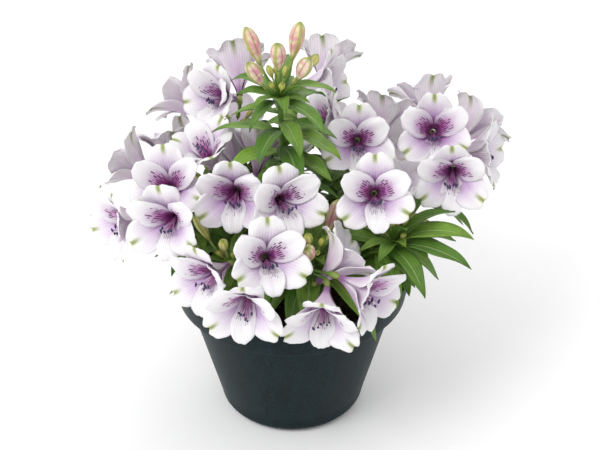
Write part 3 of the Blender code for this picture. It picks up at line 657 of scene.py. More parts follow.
def half_widths(u, half_width):
    """A petal's half width: a smooth rise out of a narrow claw up to WIDEST_AT, then an arc of a
    superellipse, (1 - fall ** 2.3) ** (1 / 2.3)."""
    rise = np.clip(u / WIDEST_AT, 0, 1)
    claw = 0.12 + 0.88 * (rise * rise * (3 - 2 * rise)) ** 0.9
    fall = np.clip((u - WIDEST_AT) / (1.16 - WIDEST_AT), 0, 1)
    return half_width * np.where(u < WIDEST_AT, claw, (1 - fall**2.3) ** (1 / 2.3))


def petal_points(turn, length, reach, half_width, flare, curl, inset, notch, luck):
    """A petal in the flower's own axes, on a grid of u from base to tip and v from side to side.

    Midrib: radius = neck + (reach - neck) * u ** flare, height = length * (u - curl * u ** 4). Each row
    bends back by ROUND_TIP * |v| ** 2.6 of its place, so that the outline ends in a round tip, and by
    the notch at its middle, where the two halves of an outer petal's tip meet in a fold. Ruffles are sums
    of waves along and across that grow towards the rim, and push the surface along its own normal.
    """
    u = np.linspace(0.0, 1.0, PETAL_ROWS)[:, None]
    v = np.linspace(-1.0, 1.0, PETAL_COLUMNS)[None, :]
    neck = FLOWER_NECK / 2
    dent = notch * luck.uniform(0.7, 1.3) * np.exp(-((v / 0.20) ** 2)) * u**6
    ripple = 0.014 * np.sin(9.0 * v + luck.uniform(0, FULL_TURN)) * u**6 * np.abs(v)
    us = u * (1 - ROUND_TIP * np.abs(v) ** 2.6 * u**1.5 - dent + ripple)
    radius = neck + (reach - neck) * us**flare - inset * np.sin(np.pi * u)
    height = length * (us - curl * us**4)
    hoop = np.maximum(radius * (0.9 + 2.4 * u**2), 0.0025)
    bend = np.clip(v * half_widths(u, half_width) / hoop, -2.0, 2.0)
    sideways = hoop * np.sin(bend)
    inwards = hoop * (1 - np.cos(bend)) * (0.85 - 0.35 * u)
    slope_r = (reach - neck) * flare * np.maximum(us, 0.02) ** (flare - 1)
    slope_h = length * (1 - 4 * curl * us**3)
    size = np.hypot(slope_r, slope_h)
    phase = luck.uniform(0, FULL_TURN, 4)
    ruffle = 0.0020 * u**2 * np.abs(v) ** 1.6 * np.sin(2.4 * np.pi * u + phase[0] + 1.2 * v)
    ruffle = ruffle + 0.0010 * u * np.sin(6 * v + phase[1] + 5 * u) * np.abs(v)
    ruffle = ruffle + 0.0009 * u**3 * np.sin(13 * v + phase[2] - 4 * u) * np.abs(v) ** 2
    keel = (0.0008 * np.sin(np.pi * u) + 14 * notch * MM * u**7) * np.exp(-((v / 0.13) ** 2))
    tilt = luck.uniform(-0.0025, 0.0030) * u**2 - 0.0022 * u**5
    push = inwards + ruffle - keel + tilt
    radius = radius - slope_h / size * push
    height = height + slope_r / size * push
    angle = math.radians(turn) + luck.uniform(-0.08, 0.08)
    height = height + sideways * luck.uniform(-0.22, 0.22) * u**2
    x = radius * math.cos(angle) - sideways * math.sin(angle)
    y = radius * math.sin(angle) + sideways * math.cos(angle)
    return np.stack([x, y, height], axis=-1)


def petal_parts(flower, luck, roll):
    """A flower's six petals as grid parts."""
    tone = luck.uniform(0.1, 0.9)
    parts = []
    for turn, kind in PETAL_TURNS.items():
        length, (least, most), *form = PETAL_KINDS[kind]
        reach = FLOWER_WIDTH / 2 * flower["opening"] * luck.uniform(least, most)
        points = petal_points(turn, FLOWER_LENGTH * length, reach, *form, luck)
        world = to_world(points, flower["base"], flower["axis"], roll)
        parts.append(grid_part(world, slot=2 * list(PETAL_KINDS).index(kind), tone=tone))
    return parts


# %% [markdown]
# ## Stamens and style
# Six filaments leave the throat, run low along the bottom petal and turn up at their ends, each with a
# slate-violet anther the size of a rice grain; the style runs among them. Each filament is a thin tube
# along a Bezier curve, and each anther is a short grain set across its end.


# %% Stamens and style
def plain_material(name, first, second, roughness, specular, grain):
    """A material whose colour drifts between two hex colours over lumps of a size in metres."""
    mat, tree, shader, place = new_material(name, roughness, specular)
    cloud = add_node(tree, "TexNoise", {"Vector": place, "Scale": 1 / grain, "Detail": 3.0})
    colour = lay_coats(tree, first, (mask_of(tree, (cloud, 0.35, 0.65)), 1.0, second))
    join_up(tree, shader, colour, cloud, 0.05 * grain)
    return mat


FILAMENT = plain_material("filament_pink", "#C58FB8", "#A4589A", 0.45, 0.4, 4 * MM)
ANTHER = plain_material("anther_slate", "#3B3550", "#565070", 0.8, 0.2, 0.6 * MM)
FILAMENT_SPREADS = (-1.0, -0.62, -0.2, 0.25, 0.6, 1.0)
ANTHER_LENGTH = 3.6 * MM
ANTHER_RADIUS = 0.85 * MM
STYLE_RADIUS = 0.36 * MM


def stamen_parts(flower, luck, roll):
    """A flower's six stamens and its style as grid parts; their knots are in millimetres.

    An anther is a grain of radius ANTHER_RADIUS * sqrt(1 - (1.9 * share) ** 2) at a share of its length.
    """
    opening = flower["opening"]
    place = (flower["base"], flower["axis"], roll)
    shares = np.linspace(0, 1, 9)
    parts = []
    for spread in FILAMENT_SPREADS:
        rise = luck.uniform(0.0, 1.0)
        droop = (3.5 + 4.5 * (1 - abs(spread) * 0.4)) * opening
        side = spread * luck.uniform(3.5, 6.0) * opening
        reach = 25 + 8 * rise
        knots = [(spread * 0.4, -0.6, 4.0), (spread * 0.9, -2.6, 16.0)]
        knots += [(side * 0.8, -droop - 1.5, reach - 7.0), (side, -droop + 1.5, reach)]
        path = bezier(np.array(knots) * MM, shares)
        parts.append(swept_part(to_world(path, *place), np.linspace(0.42, 0.28, 9) * MM, sides=5))
        lean = np.array([luck.uniform(-0.5, 0.5), 0.9, luck.uniform(-0.2, 0.5)])
        stations = np.linspace(-0.5, 0.5, 6)[:, None]
        grain = path[-1] + stations * lean / np.linalg.norm(lean) * ANTHER_LENGTH
        bulge = ANTHER_RADIUS * np.sqrt(np.clip(1 - (1.9 * stations[:, 0]) ** 2, 0.03, 1))
        parts.append(swept_part(to_world(grain, *place), bulge, sides=6, slot=1))
    knots = np.array([(0.0, 0.2, 4.0), (0.3, -1.2, 16.0), (0.2, -6.0, 24.0), (0.4, -6.5 * opening, 30.0)])
    path = bezier(knots * MM, shares)
    parts.append(swept_part(to_world(path, *place), np.full(9, STYLE_RADIUS), sides=5))
    return parts


# %% Flowers
def make_flowers():
    """Every flower: one piece of petals, which stands for the solid, and one of stamens and style."""
    for number, flower in enumerate(FLOWERS):
        name = flower["name"]
        luck = np.random.default_rng(100 + number)
        roll = luck.uniform(-0.12, 0.12)
        petals = petal_parts(flower, luck, roll)
        make_piece(f"{name}_petals", petals, PETAL_MATERIALS, [name], (PETAL_WALL, 0.0, 1))
        stamens = stamen_parts(flower, luck, roll)
        make_piece(f"{name}_stamens", stamens, [FILAMENT, ANTHER])
    quads = len(PETAL_TURNS) * (PETAL_ROWS - 1) * (PETAL_COLUMNS - 1)
    print("made", len(FLOWERS), "flowers of", quads, "quads of petal each")


make_flowers()

# %% [markdown]
# ## Leaves and stems
# The leaves are lance-shaped and satin green, with parallel veins and a pale midrib, and grow all up the
# stems. Each keeps the midline of the solid's own leaf: its heading is constant and its climb falls
# steadily. A leaf solid was turned, raised or shortened until it had room, so the same tries are made
# here, and the one whose tip and middle lie on the stem's solid is the leaf that grew.


# %% Leaf and stem materials
LEAF_VEINS = 9


def leaf_material():
    """Living leaf: a waxy green with fine parallel veins, lighter along the midrib and on young leaves.

    A real leaf has some thirty veins across; nine are drawn, so that they show.
    """
    mat, tree, shader, place = new_material("leaf_green", 0.42, 0.40)
    _, v, away, tone = own_surface(tree)
    cloud = add_node(tree, "TexNoise", {"Vector": place, "Scale": 1 / (11 * MM), "Detail": 3.0})
    vein = mask_of(tree, (waves(tree, v, LEAF_VEINS), 0.2, 1.0))
    rib = mask_of(tree, (away, 0.10, 0.02))
    colour = lay_coats(
        tree,
        "#527B29",
        (tone, 1.0, "#84A940"),
        (mask_of(tree, (cloud, 0.4, 0.7)), 0.45, "#3D6322"),
        (vein, 0.20, "#9ABB62"),
        (rib, 0.5, "#B4CC86"),
    )
    grooves = add_node(tree, "Math", [vein, rib], operation="SUBTRACT")
    join_up(tree, shader, colour, grooves, 0.3 * MM)
    shader.inputs["Subsurface Weight"].default_value = 0.05
    shader.inputs["Subsurface Scale"].default_value = 1 * MM
    return mat


def stem_material():
    """Stem skin: mid green, paler and a little bronze towards the flowers."""
    mat, tree, shader, place = new_material("stem_green", 0.42, 0.45)
    u, _, _, tone = own_surface(tree)
    cloud = add_node(tree, "TexNoise", {"Vector": place, "Scale": 1 / (6 * MM), "Detail": 3.0})
    colour = lay_coats(
        tree,
        "#5E8A34",
        (mask_of(tree, (cloud, 0.3, 0.7)), 1.0, "#486F28"),
        (mask_of(tree, (u, 0.2, 0.9)), tone, "#8A9A4A"),
    )
    join_up(tree, shader, colour, cloud, 0.2 * MM)
    return mat


LEAF = leaf_material()
STEM = stem_material()
print("materials:", LEAF.name, "and", STEM.name)

# %% Which leaves grew
SPIRAL_STEP = 137.5
ROUGH_SHARES = np.array([0.0, 0.24, 0.62, 1.0])
ON_THE_SOLID = 0.6 * MM


def point_on(line, share):
    """The point at a share of the way along a line of points, past its first, buried, stretch."""
    place = 1 + share * (len(line) - 2)
    index = min(int(place), len(line) - 2)
    rest = place - index
    return line[index] * (1 - rest) + line[index + 1] * rest


def wanted_leaves(stem, order):
    """The leaves that a stem should carry: those listed, then the regular spiral up the stem.

    Each is its share up the stem, heading, climb, length, width and droop. Up the spiral, the climb
    falls from 33 to 11 degrees, and five lengths from 46 to 64 mm take turns.
    """
    leaves = [entry[1:] for entry in CHOSEN_LEAVES if entry[0] == stem]
    for index in range(LEAVES_TO_A_STEM):
        share = 0.16 + 0.74 * index / (LEAVES_TO_A_STEM - 1)
        length = 46 + 18 * ((index * 3 + order) % 5) / 4
        heading = (SPIRAL_STEP * index + 50 * order) % 360
        leaves.append((share, heading, 38 - 30 * share, length, 0.28 * length, 60))
    return leaves


def leaf_tries(line, leaf):
    """A leaf as wanted and then ever more changed: turned, raised, lowered and shortened."""
    share, heading, climb, length, width, droop = leaf
    root = point_on(line, share)
    for shrink in (1.0, 0.85, 0.7):
        size = shrink * MM
        for turn in (0, 14, -14, 28, -28, 42, -42):
            for tilt in (0, 14, -14, 28):
                yield root, heading + turn, climb + tilt, length * size, width * size, droop


def midline(root, heading, climb, length, droop, shares):
    """A leaf's midline: steps in the leaf's heading, whose climb falls by the droop over its length."""
    steps = np.diff(shares)
    middles = (shares[1:] + shares[:-1]) / 2
    moves = direction(np.full(len(middles), heading), climb - droop * middles) * (length * steps)[:, None]
    return np.vstack([root, root + np.cumsum(moves, axis=0)])


def grown_leaf(tree, line, leaf):
    """The try that the stem's solid holds, or None for a leaf that had no room."""
    for root, heading, climb, length, width, droop in leaf_tries(line, leaf):
        spots = midline(root, heading, climb, length, droop, ROUGH_SHARES)
        if all(tree.find_nearest(spot, ON_THE_SOLID)[0] is not None for spot in spots[1:]):
            return root, heading, climb, length, width, droop
    return None


# %% Leaf surfaces
LEAF_ROWS, LEAF_COLUMNS = 17, 9
LEAF_START = 0.8 * MM
LEAF_WALL = 0.4 * MM
FOLD = 0.30


def leaf_points(root, heading, climb, length, width, droop, luck):
    """A leaf on a grid of u along and v across.

    Half width = half the width times (sine of half a turn of u ** 0.85) ** 0.9; the halves fold up by
    FOLD of it and the rims wave a little, and the blade rolls about its midline towards the tip. It
    starts just off the stem's axis, so that two leaves never share an edge there.
    """
    u = np.linspace(0.0, 1.0, LEAF_ROWS)
    v = np.linspace(-1.0, 1.0, LEAF_COLUMNS)
    start = root + direction(heading, climb) * LEAF_START
    spine = midline(start, heading, climb, length, droop, u)
    across = np.array([-math.sin(math.radians(heading)), math.cos(math.radians(heading)), 0.0])
    lift = np.cross(direction(np.full(len(u), heading), climb - droop * u), across)
    half = 0.5 * width * np.sin(np.pi * u**0.85) ** 0.9
    half = np.maximum(half, np.where(u < 0.5, 0.07 * width, 0.0))
    roll = (luck.uniform(-0.35, 0.35) * u)[:, None]
    wave = 0.05 * width * np.sin(2 * np.pi * (u * luck.uniform(1.2, 2.2) + luck.uniform(0, 1))) * (half > 0)
    side = across * np.cos(roll) + lift * np.sin(roll)
    top = lift * np.cos(roll) - across * np.sin(roll)
    fold = FOLD * half[:, None] * np.abs(v) ** 1.3 + wave[:, None] * v**2
    return spine[:, None] + side[:, None] * (half[:, None] * v)[..., None] + top[:, None] * fold[..., None]


# %% Stalks
def stalk_line(hub, foot, axis, bow, shares):
    """A flower stalk: a Bezier curve from the hub that arrives along the flower's axis."""
    span = np.linalg.norm(foot - hub)
    leave = hub + (foot - hub) * 0.35 + bow
    arrive = foot - axis * min(span * 0.45, 0.016)
    return bezier((hub, leave, arrive, foot), shares)


def stalk_bows():
    """Sideways bows for a stalk: none, then wider and wider ones all round."""
    yield np.zeros(3)
    for reach in (0.005, 0.010, 0.016, 0.023, 0.030):
        for heading in range(0, 360, 45):
            yield direction(heading, 0) * reach
            yield direction(heading, -40) * reach


def grown_bow(tree, hub, foot, axis):
    """The bow whose stalk runs inside the stem's solid, at two places along it."""
    best, most = np.zeros(3), -1
    for bow in stalk_bows():
        inside = 0
        for spot in stalk_line(hub, foot, axis, bow, (0.33, 0.7)):
            place, normal, _, _ = tree.find_nearest(spot)
            inside += (Vector(spot) - place).dot(normal) < 0
        if inside > most:
            best, most = bow, inside
        if most == 2:
            break
    return best


def stalk_part(hub, foot, axis, bow, with_ovary):
    """A stalk as a swept tube; under a flower it swells into the six-ribbed ovary.

    The swelling is (sine of half a turn of its share ** 0.8) ** 0.7, over the stalk's last 22 hundredths.
    """
    shares = np.concatenate([np.linspace(0.01, 0.74, 8), np.linspace(0.80, 1.0, 9)])
    radii = np.full(len(shares), STALK_RADIUS)
    radii[0] *= 1.3
    if with_ovary:
        swell = np.clip((shares - 0.78) / 0.22, 0, 1)
        radii = radii + (OVARY_RADIUS - STALK_RADIUS) * np.sin(np.pi * swell**0.8) ** 0.7 * (swell > 0)
        radii[-1] = OVARY_END_RADIUS
    path = stalk_line(hub, foot, axis, bow, shares)
    return swept_part(path, radii, sides=18, ribs=6, rib_height=0.05, tone=1.0)


def bud_part(middle, axis, length, width, luck):
    """A bud on a grid of u from foot to tip and v round it.

    Radius = half the width times the spindle's profile times (1 + 0.07 cos 3 v - a narrow seam).
    """
    u = np.concatenate([[0.0], np.linspace(0.012, 0.985, 26), [1.0]])[:, None]
    angle = np.linspace(0, 2 * np.pi, 49)[None, :]
    spindle = (0.16 + 0.84 * np.sin(np.pi * u**1.25 * 0.93) ** 0.85) * (u < 1) * (u > 0)
    spindle = spindle * np.clip((1 - u) * 9, 0, 1) ** 0.5
    seam = np.exp(-(((np.cos(3 * angle) + 1) / 0.10) ** 2))
    ring = 1 + (0.07 * np.cos(3 * angle) - 0.10 * seam) * np.sin(np.pi * u)
    radius = 0.5 * width * spindle * ring
    rise = (u - 0.5) * length + 0 * angle
    points = np.stack([radius * np.cos(angle), radius * np.sin(angle), rise], axis=-1)
    points[:, -1] = points[:, 0]
    world = to_world(points, middle, axis, luck.uniform(0, 2))
    return grid_part(world, tone=luck.uniform(0, 0.7), flip=True)


# %% [markdown]
# ## The umbel's small parts
# Under its stalks an umbel has a whorl of short leaves, and among them stand its youngest buds. The
# solids leave these out, so each is tried on several slopes, and grows on the first that is clear of the
# other solids and of its own stem.

# %% Whorl leaves and young buds
WHORL_LEAVES = 7
WHORL_SLOPES = [(turn, climb) for climb in (35, 15, 55, 0, 72) for turn in (0, 14, -14, 24)]
YOUNG_BUDS = 6
YOUNG_BUD_WIDTH = 0.46


def tree_without(stem):
    """One search tree of every solid but the stem's own."""
    points, faces = [], []
    for name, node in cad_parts.items():
        if name != f"stem_{stem}":
            start = len(points)
            points += [v.co for v in node.data.vertices]
            faces += [[start + i for i in p.vertices] for p in node.data.polygons]
    return BVHTree.FromPolygons(points, faces)


def has_room(spots, tree, gap):
    """Whether every spot is at least the gap from a surface."""
    return all(tree.find_nearest(spot, gap)[0] is None for spot in spots.reshape(-1, 3))


def whorl_parts(hub, order, strangers, own):
    """The whorl of short leaves under an umbel: each takes the first slope that has room."""
    parts = []
    for number in range(WHORL_LEAVES):
        luck = np.random.default_rng(3000 + 20 * order + number)
        length = luck.uniform(24, 36) * MM
        for heading, climb in WHORL_SLOPES:
            turn = 51 * number + 25 * order + heading
            points = leaf_points(hub, turn, climb, length, 0.30 * length, 60, luck)
            if has_room(points[5:], strangers, 1.2 * MM) and has_room(points[7:], own, 0.8 * MM):
                parts.append(grid_part(points, tone=luck.uniform(0.3, 1.0)))
                break
    return parts


def young_buds(hub, order, strangers, own):
    """The youngest buds of an umbel, 8 to 11 mm long on short stalks, where there is room for them."""
    seats = []
    for number in range(YOUNG_BUDS):
        luck = np.random.default_rng(4000 + 20 * order + number)
        length = luck.uniform(8, 11) * MM
        for climb in (50, 70, 30, 85):
            axis = direction(60 * number + 35 * order + luck.uniform(-15, 15), climb)
            foot = hub + axis * luck.uniform(10, 17) * MM
            middle = foot + axis * length / 2
            shell = bud_part(middle, axis, length, YOUNG_BUD_WIDTH * length, luck)[0]
            if has_room(shell, strangers, 1.0 * MM) and has_room(shell, own, 0.6 * MM):
                seats.append((middle, axis, length, foot))
                break
    return seats


# %% Stems
BUD_SEATS = []
YOUNG_SEATS = []


def bud_seat(hub, x, y, z, length):
    """A layout bud's middle and axis: three parts away from the hub and one part up; and its foot."""
    middle = from_mouth(x, y, z)
    axis = (middle - hub) / np.linalg.norm(middle - hub)
    axis = axis * 0.75 + np.array([0.0, 0.0, 0.25])
    axis = axis / np.linalg.norm(axis)
    return middle, axis, middle - axis * length * MM * 0.5


def stem_parts(stem, flowers, tree, strangers, order):
    """A stem's own tube and the stalks of its flowers and buds; it notes where the buds sit."""
    hub = from_mouth(*STEMS[stem][0])
    line = stem_line(stem, 28)
    parts = [swept_part(line, np.full(len(line), STEM_RADIUS), sides=14, tone=0.2)]
    for flower in flowers:
        foot = flower["base"] - flower["axis"] * CLEARANCE
        bow = grown_bow(tree, hub, foot, flower["axis"])
        parts.append(stalk_part(hub, foot, flower["axis"], bow, True))
    for x, y, z, length, width in STEMS[stem][2]:
        middle, axis, foot = bud_seat(hub, x, y, z, length)
        parts.append(stalk_part(hub, foot, axis, grown_bow(tree, hub, foot, axis), False))
        BUD_SEATS.append((stem, middle, axis, length * MM, width * MM))
    for middle, axis, length, foot in young_buds(hub, order, strangers, tree):
        path = np.linspace(hub + (foot - hub) * 0.03, foot, 5)
        parts.append(swept_part(path, np.full(5, 0.7 * STALK_RADIUS), sides=8, tone=1.0))
        YOUNG_SEATS.append((middle, axis, length))
    return parts


def leaf_parts(stem, tree, strangers, order):
    """A stem's leaves, each if its solid holds it, and then the whorl under the umbel."""
    line = stem_line(stem, 8)
    leaves = []
    for number, leaf in enumerate(wanted_leaves(stem, order)):
        grown = grown_leaf(tree, line, leaf)
        if grown is None:
            continue
        luck = np.random.default_rng(1000 + 40 * order + number)
        leaves.append(grid_part(leaf_points(*grown, luck), tone=luck.uniform(0.0, 1.0) ** 1.4))
    return leaves + whorl_parts(point_on(line, 0.985), order, strangers, tree)


def make_stems():
    """Every stem: one piece of stem and stalks, and one of leaves; both stand for the stem's solid."""
    count = 0
    for order, stem in enumerate(STEMS):
        node = f"stem_{stem}"
        tree, strangers = node_tree(node), tree_without(stem)
        flowers = [flower for flower in FLOWERS if flower["stem"] == stem]
        wood = stem_parts(stem, flowers, tree, strangers, order)
        make_piece(f"{node}_wood", wood, [STEM], [node])
        leaves = leaf_parts(stem, tree, strangers, order)
        count += len(leaves)
        make_piece(f"{node}_leaves", leaves, [LEAF], [node], (LEAF_WALL, 0.0, 0))
    print("made", len(STEMS), "stems with", count, "leaves")


make_stems()

# %% [markdown]
# ## Buds
# A closed bud is three outer petals folded together: blunt-ended, fullest past its middle, with a seam
# between each two. It is green at its foot, along each petal's keel and at its tip, and cream flushed
# with pink between. The surface is a spindle whose radius has three shallow waves round it.


# %% Bud material
def bud_material(name, body, flush, keel, strength):
    """Bud skin: its body colour, a flush of pink in the middle, and a green keel, foot and tip."""
    mat, tree, shader, place = new_material(name, 0.42, 0.45)
    u, v, _, tone = own_surface(tree)
    cloud = add_node(tree, "TexNoise", {"Vector": place, "Scale": 1 / (4.5 * MM), "Detail": 3.0})
    wave = waves(tree, v, 3, "COSINE")
    foot, tip = mask_of(tree, (u, 0.26, 0.06)), mask_of(tree, (u, 0.84, 0.97))
    colour = lay_coats(
        tree,
        body,
        (tone, 1.0, "#DCD694"),
        (mask_of(tree, (u, 0.12, 0.40), (u, 0.98, 0.72), (cloud, 0.30, 0.62)), strength, flush),
        (mask_of(tree, (wave, 0.45, 0.95)), 0.75, keel),
        (add_node(tree, "Math", [foot, tip], operation="MAXIMUM"), 0.85, keel),
        (mask_of(tree, (wave, -0.93, -1.0)), 0.6, "#7C6A3A"),
    )
    join_up(tree, shader, colour, waves(tree, v, 24), 0.08 * MM)
    return mat


PINK_BUD = bud_material("bud_pink", "#EADFC0", "#D892A0", "#93A238", 0.95)
GREEN_BUD = bud_material("bud_green", "#C3CB5A", "#DCC283", "#86A032", 0.35)
RIPE_WIDTH = 9.5 * MM


# %% Buds
def make_buds():
    """Every bud: large ones stand for their own solids, small ones belong to their stem's."""
    large = 0
    for number, (stem, middle, axis, length, width) in enumerate(BUD_SEATS):
        luck = np.random.default_rng(500 + number)
        is_large = length > (LARGE_BUD - 0.5) * MM
        large += is_large
        node = f"bud_{large:02d}" if is_large else f"stem_{stem}"
        skin = PINK_BUD if width > RIPE_WIDTH else GREEN_BUD
        shell = bud_part(middle, axis, length, width, luck)
        make_piece(f"closed_bud_{number + 1:02d}", [shell], [skin], [node])
    young = []
    for number, (middle, axis, length) in enumerate(YOUNG_SEATS):
        luck = np.random.default_rng(700 + number)
        young.append(bud_part(middle, axis, length, YOUNG_BUD_WIDTH * length, luck))
    make_piece("young_buds", young, [GREEN_BUD])
    print("made", len(BUD_SEATS), "buds,", large, "of them large, and", len(young), "young ones")


make_buds()

# %% [markdown]
# ## Pot
# A grower's pot is moulded in one piece from dark green polypropylene: a thin tapered wall, a deep
# straight band under the rim, and a flat foot with drain holes. Its profile is turned in fine steps with
# rounded edges. The moulded skin is satin, with a fine grain and very faint upright drawing marks.


# %% Pot material
def pot_material():
    """Moulded polypropylene: dark bottle green, satin, with a grain and faint upright streaks.

    The mould's grain is about 0.1 mm; it is drawn at 1.3 mm, so that it shows.
    """
    mat, tree, shader, place = new_material("moulded_polypropylene", 0.50, 0.13)
    tall = add_node(tree, "Mapping", {"Vector": place, "Scale": (1.0, 1.0, 0.08)})
    streaks = add_node(tree, "TexNoise", {"Vector": tall, "Scale": 1 / (6 * MM), "Detail": 4.0})
    cloud = add_node(tree, "TexNoise", {"Vector": place, "Scale": 1 / (45 * MM), "Detail": 3.0})
    grain = add_node(tree, "TexNoise", {"Vector": place, "Scale": 1 / (1.3 * MM), "Detail": 2.0})
    colour = lay_coats(
        tree,
        "#06161A",
        (mask_of(tree, (streaks, 0.35, 0.65)), 1.0, "#0A2024"),
        (mask_of(tree, (cloud, 0.45, 0.75)), 0.4, "#152528"),
        (mask_of(tree, (grain, 0.50, 0.72)), 0.4, "#22383C"),
    )
    rough = add_node(tree, "Math", [streaks, 0.16, 0.38], operation="MULTIPLY_ADD")
    tree.links.new(rough, shader.inputs["Roughness"])
    low = add_node(tree, "Math", [streaks, 0.6], operation="MULTIPLY")
    height = add_node(tree, "Math", [grain, 0.5, low], operation="MULTIPLY_ADD")
    join_up(tree, shader, colour, height, 0.2 * MM)
    return mat


# %% Pot outline
RIM_BAND = 0.0245
BAND_TAPER = 0.0040
RIM_STEP = 0.0075
FOOT_RADIUS = 0.057
FOOT_ROUNDING = 0.009
WALL = 0.0016
FLOOR = 0.0020
LEDGE_RISE = 2.2 * WALL
EDGE_ROUNDING = 0.7 * MM
INNER_ROUNDING = 0.6 * MM
BAND_FOOT = POT_HEIGHT - RIM_BAND
BAND_RADIUS = RIM_RADIUS - BAND_TAPER
SHOULDER_RADIUS = BAND_RADIUS - RIM_STEP


def body_radius(height):
    """Outer radius of the pot's tapered body at a height."""
    return FOOT_RADIUS + (SHOULDER_RADIUS - FOOT_RADIUS) * height / BAND_FOOT


def rounded(points, radius, steps=4):
    """The outline with each inner corner replaced by a short curve that starts and ends radius away."""
    points = np.asarray(points, float)
    result = [points[0]]
    for before, corner, after in zip(points, points[1:], points[2:]):
        back, ahead = before - corner, after - corner
        near = min(radius, 0.45 * np.linalg.norm(back), 0.45 * np.linalg.norm(ahead))
        start = corner + back / np.linalg.norm(back) * near
        end = corner + ahead / np.linalg.norm(ahead) * near
        t = np.linspace(0, 1, steps)[:, None]
        result += list(start * (1 - t) ** 2 + 2 * corner * t * (1 - t) + end * t**2)
    return np.array(result + [points[-1]])


def foot_arc(inset):
    """The rounded corner between wall and floor, inset by the wall."""
    rounding = FOOT_ROUNDING - inset
    turn = np.radians(np.linspace(0, 90, 9))
    centre = body_radius(FOOT_ROUNDING) - FOOT_ROUNDING
    return np.stack([centre + rounding * np.cos(turn), FOOT_ROUNDING - rounding * np.sin(turn)], axis=1)


def pot_outline():
    """The wall's closed outline as (radius, height) rows: from the rim down the outside, in to the axis,
    and back up the inside."""
    rim = (RIM_RADIUS - WALL / 2, POT_HEIGHT)
    under = foot_arc(0.0)
    inside = foot_arc(WALL) + (0.0, FLOOR - WALL)
    outer = [rim, (RIM_RADIUS, POT_HEIGHT), (BAND_RADIUS, BAND_FOOT), (SHOULDER_RADIUS, BAND_FOOT)]
    outer = rounded(outer + [under[0]], EDGE_ROUNDING)
    ledge = (BAND_RADIUS - WALL, BAND_FOOT + LEDGE_RISE)
    inner = [inside[0], (SHOULDER_RADIUS - WALL, BAND_FOOT + WALL), ledge, (RIM_RADIUS - WALL, POT_HEIGHT)]
    inner = rounded(inner + [rim], INNER_ROUNDING)
    body = np.linspace(outer[-2], outer[-1], 12)[1:]
    axis = [(0.0, 0.0), (0.0, FLOOR)]
    return np.vstack([outer[:-1], body, under[1:], axis, inside[::-1], inner[1:]])


# %% Pot
POT_TURNS = 192
DRAIN_HOLES = 6
DRAIN_RADIUS = 0.005
DRAIN_RING = 0.62 * FOOT_RADIUS
CUT_DEPTH = 0.012
SHARP_EDGE = math.radians(40)


def face_outwards(work):
    """Turns every face of a closed mesh to the outside."""
    bmesh.ops.recalc_face_normals(work, faces=work.faces)


def close_cuts(work):
    """Merges the slivers that cutting leaves, and fills the gaps between them."""
    bmesh.ops.remove_doubles(work, verts=work.verts, dist=0.01 * MM)
    bmesh.ops.holes_fill(work, edges=[edge for edge in work.edges if edge.is_boundary], sides=0)


def drain(pot):
    """Cuts a ring of round holes through the pot's floor."""
    cutters = []
    for index in range(DRAIN_HOLES):
        turn = 2 * math.pi * index / DRAIN_HOLES
        place = (DRAIN_RING * math.cos(turn), DRAIN_RING * math.sin(turn), FLOOR / 2)
        bpy.ops.mesh.primitive_cylinder_add(vertices=40, radius=DRAIN_RADIUS, depth=CUT_DEPTH, location=place)
        cutters.append(bpy.context.object)
        pot.modifiers.new("Drain", "BOOLEAN").object = cutters[-1]
    graph = bpy.context.evaluated_depsgraph_get()
    mesh = bpy.data.meshes.new_from_object(pot.evaluated_get(graph))
    pot.modifiers.clear()
    pot.data = mesh
    for cutter in cutters:
        bpy.data.objects.remove(cutter)
    mend_mesh(mesh, close_cuts)


def make_pot():
    """The pot's closed outline turned once round, then pierced by the drain holes."""
    skin = grid_part(turned_points(pot_outline(), POT_TURNS))
    pot = make_piece("nursery_pot", [skin], [pot_material()], ["pot"])
    mend_mesh(pot.data, face_outwards)
    drain(pot)
    pot.data.shade_smooth()
    pot.data.set_sharp_from_angle(angle=SHARP_EDGE)
    print("pot outline of", len(pot_outline()), "points,", len(pot.data.polygons), "faces")


make_pot()

# %% [markdown]
# ## Soil
# Potting soil is dark brown peat with short fibres and a few grains of white perlite. The top is a grid
# of radius and angle, raised by several sizes of lump worked out as sums of waves; loose crumbs, each a
# small irregular lump of a few dozen faces, lie on it.


# %% Soil material
def soil_material():
    """Moist peat: very dark brown, dull, with crumbs of about 4 mm and lighter fibres of about 1 mm."""
    mat, tree, shader, place = new_material("moist_peat", 0.92, 0.2)
    coarse = add_node(tree, "TexNoise", {"Vector": place, "Scale": 1 / (4 * MM), "Detail": 6.0})
    speck = add_node(tree, "TexNoise", {"Vector": place, "Scale": 1 / (1.1 * MM), "Detail": 2.0})
    colour = lay_coats(
        tree,
        "#1F1611",
        (mask_of(tree, (coarse, 0.35, 0.7)), 1.0, "#4A3728"),
        (mask_of(tree, (speck, 0.66, 0.72)), 0.6, "#8A7056"),
    )
    join_up(tree, shader, colour, coarse, 1.6 * MM)
    return mat


PEAT = soil_material()
PERLITE = plain_material("perlite", "#E8E6E0", "#D2CFC6", 0.9, 0.2, 1 * MM)

# %% Soil
SOIL_RINGS = 90
SOIL_TURNS = 240
SUNK = 0.4 * MM
SOIL_LOW, SOIL_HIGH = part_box("soil")
SOIL_RADIUS = (SOIL_HIGH.x - SOIL_LOW.x) / 2


def lumps(x, y):
    """Height of the soil's lumps: eighteen plane waves of chance headings, from 14 mm down to 2.5 mm long."""
    luck = np.random.default_rng(21)
    total = np.zeros_like(x)
    for size in np.geomspace(14 * MM, 2.5 * MM, 18):
        heading, phase = luck.uniform(0, FULL_TURN, 2)
        wave = np.sin((x * math.cos(heading) + y * math.sin(heading)) * 2 * math.pi / size + phase)
        total += wave * size * 0.035
    return total


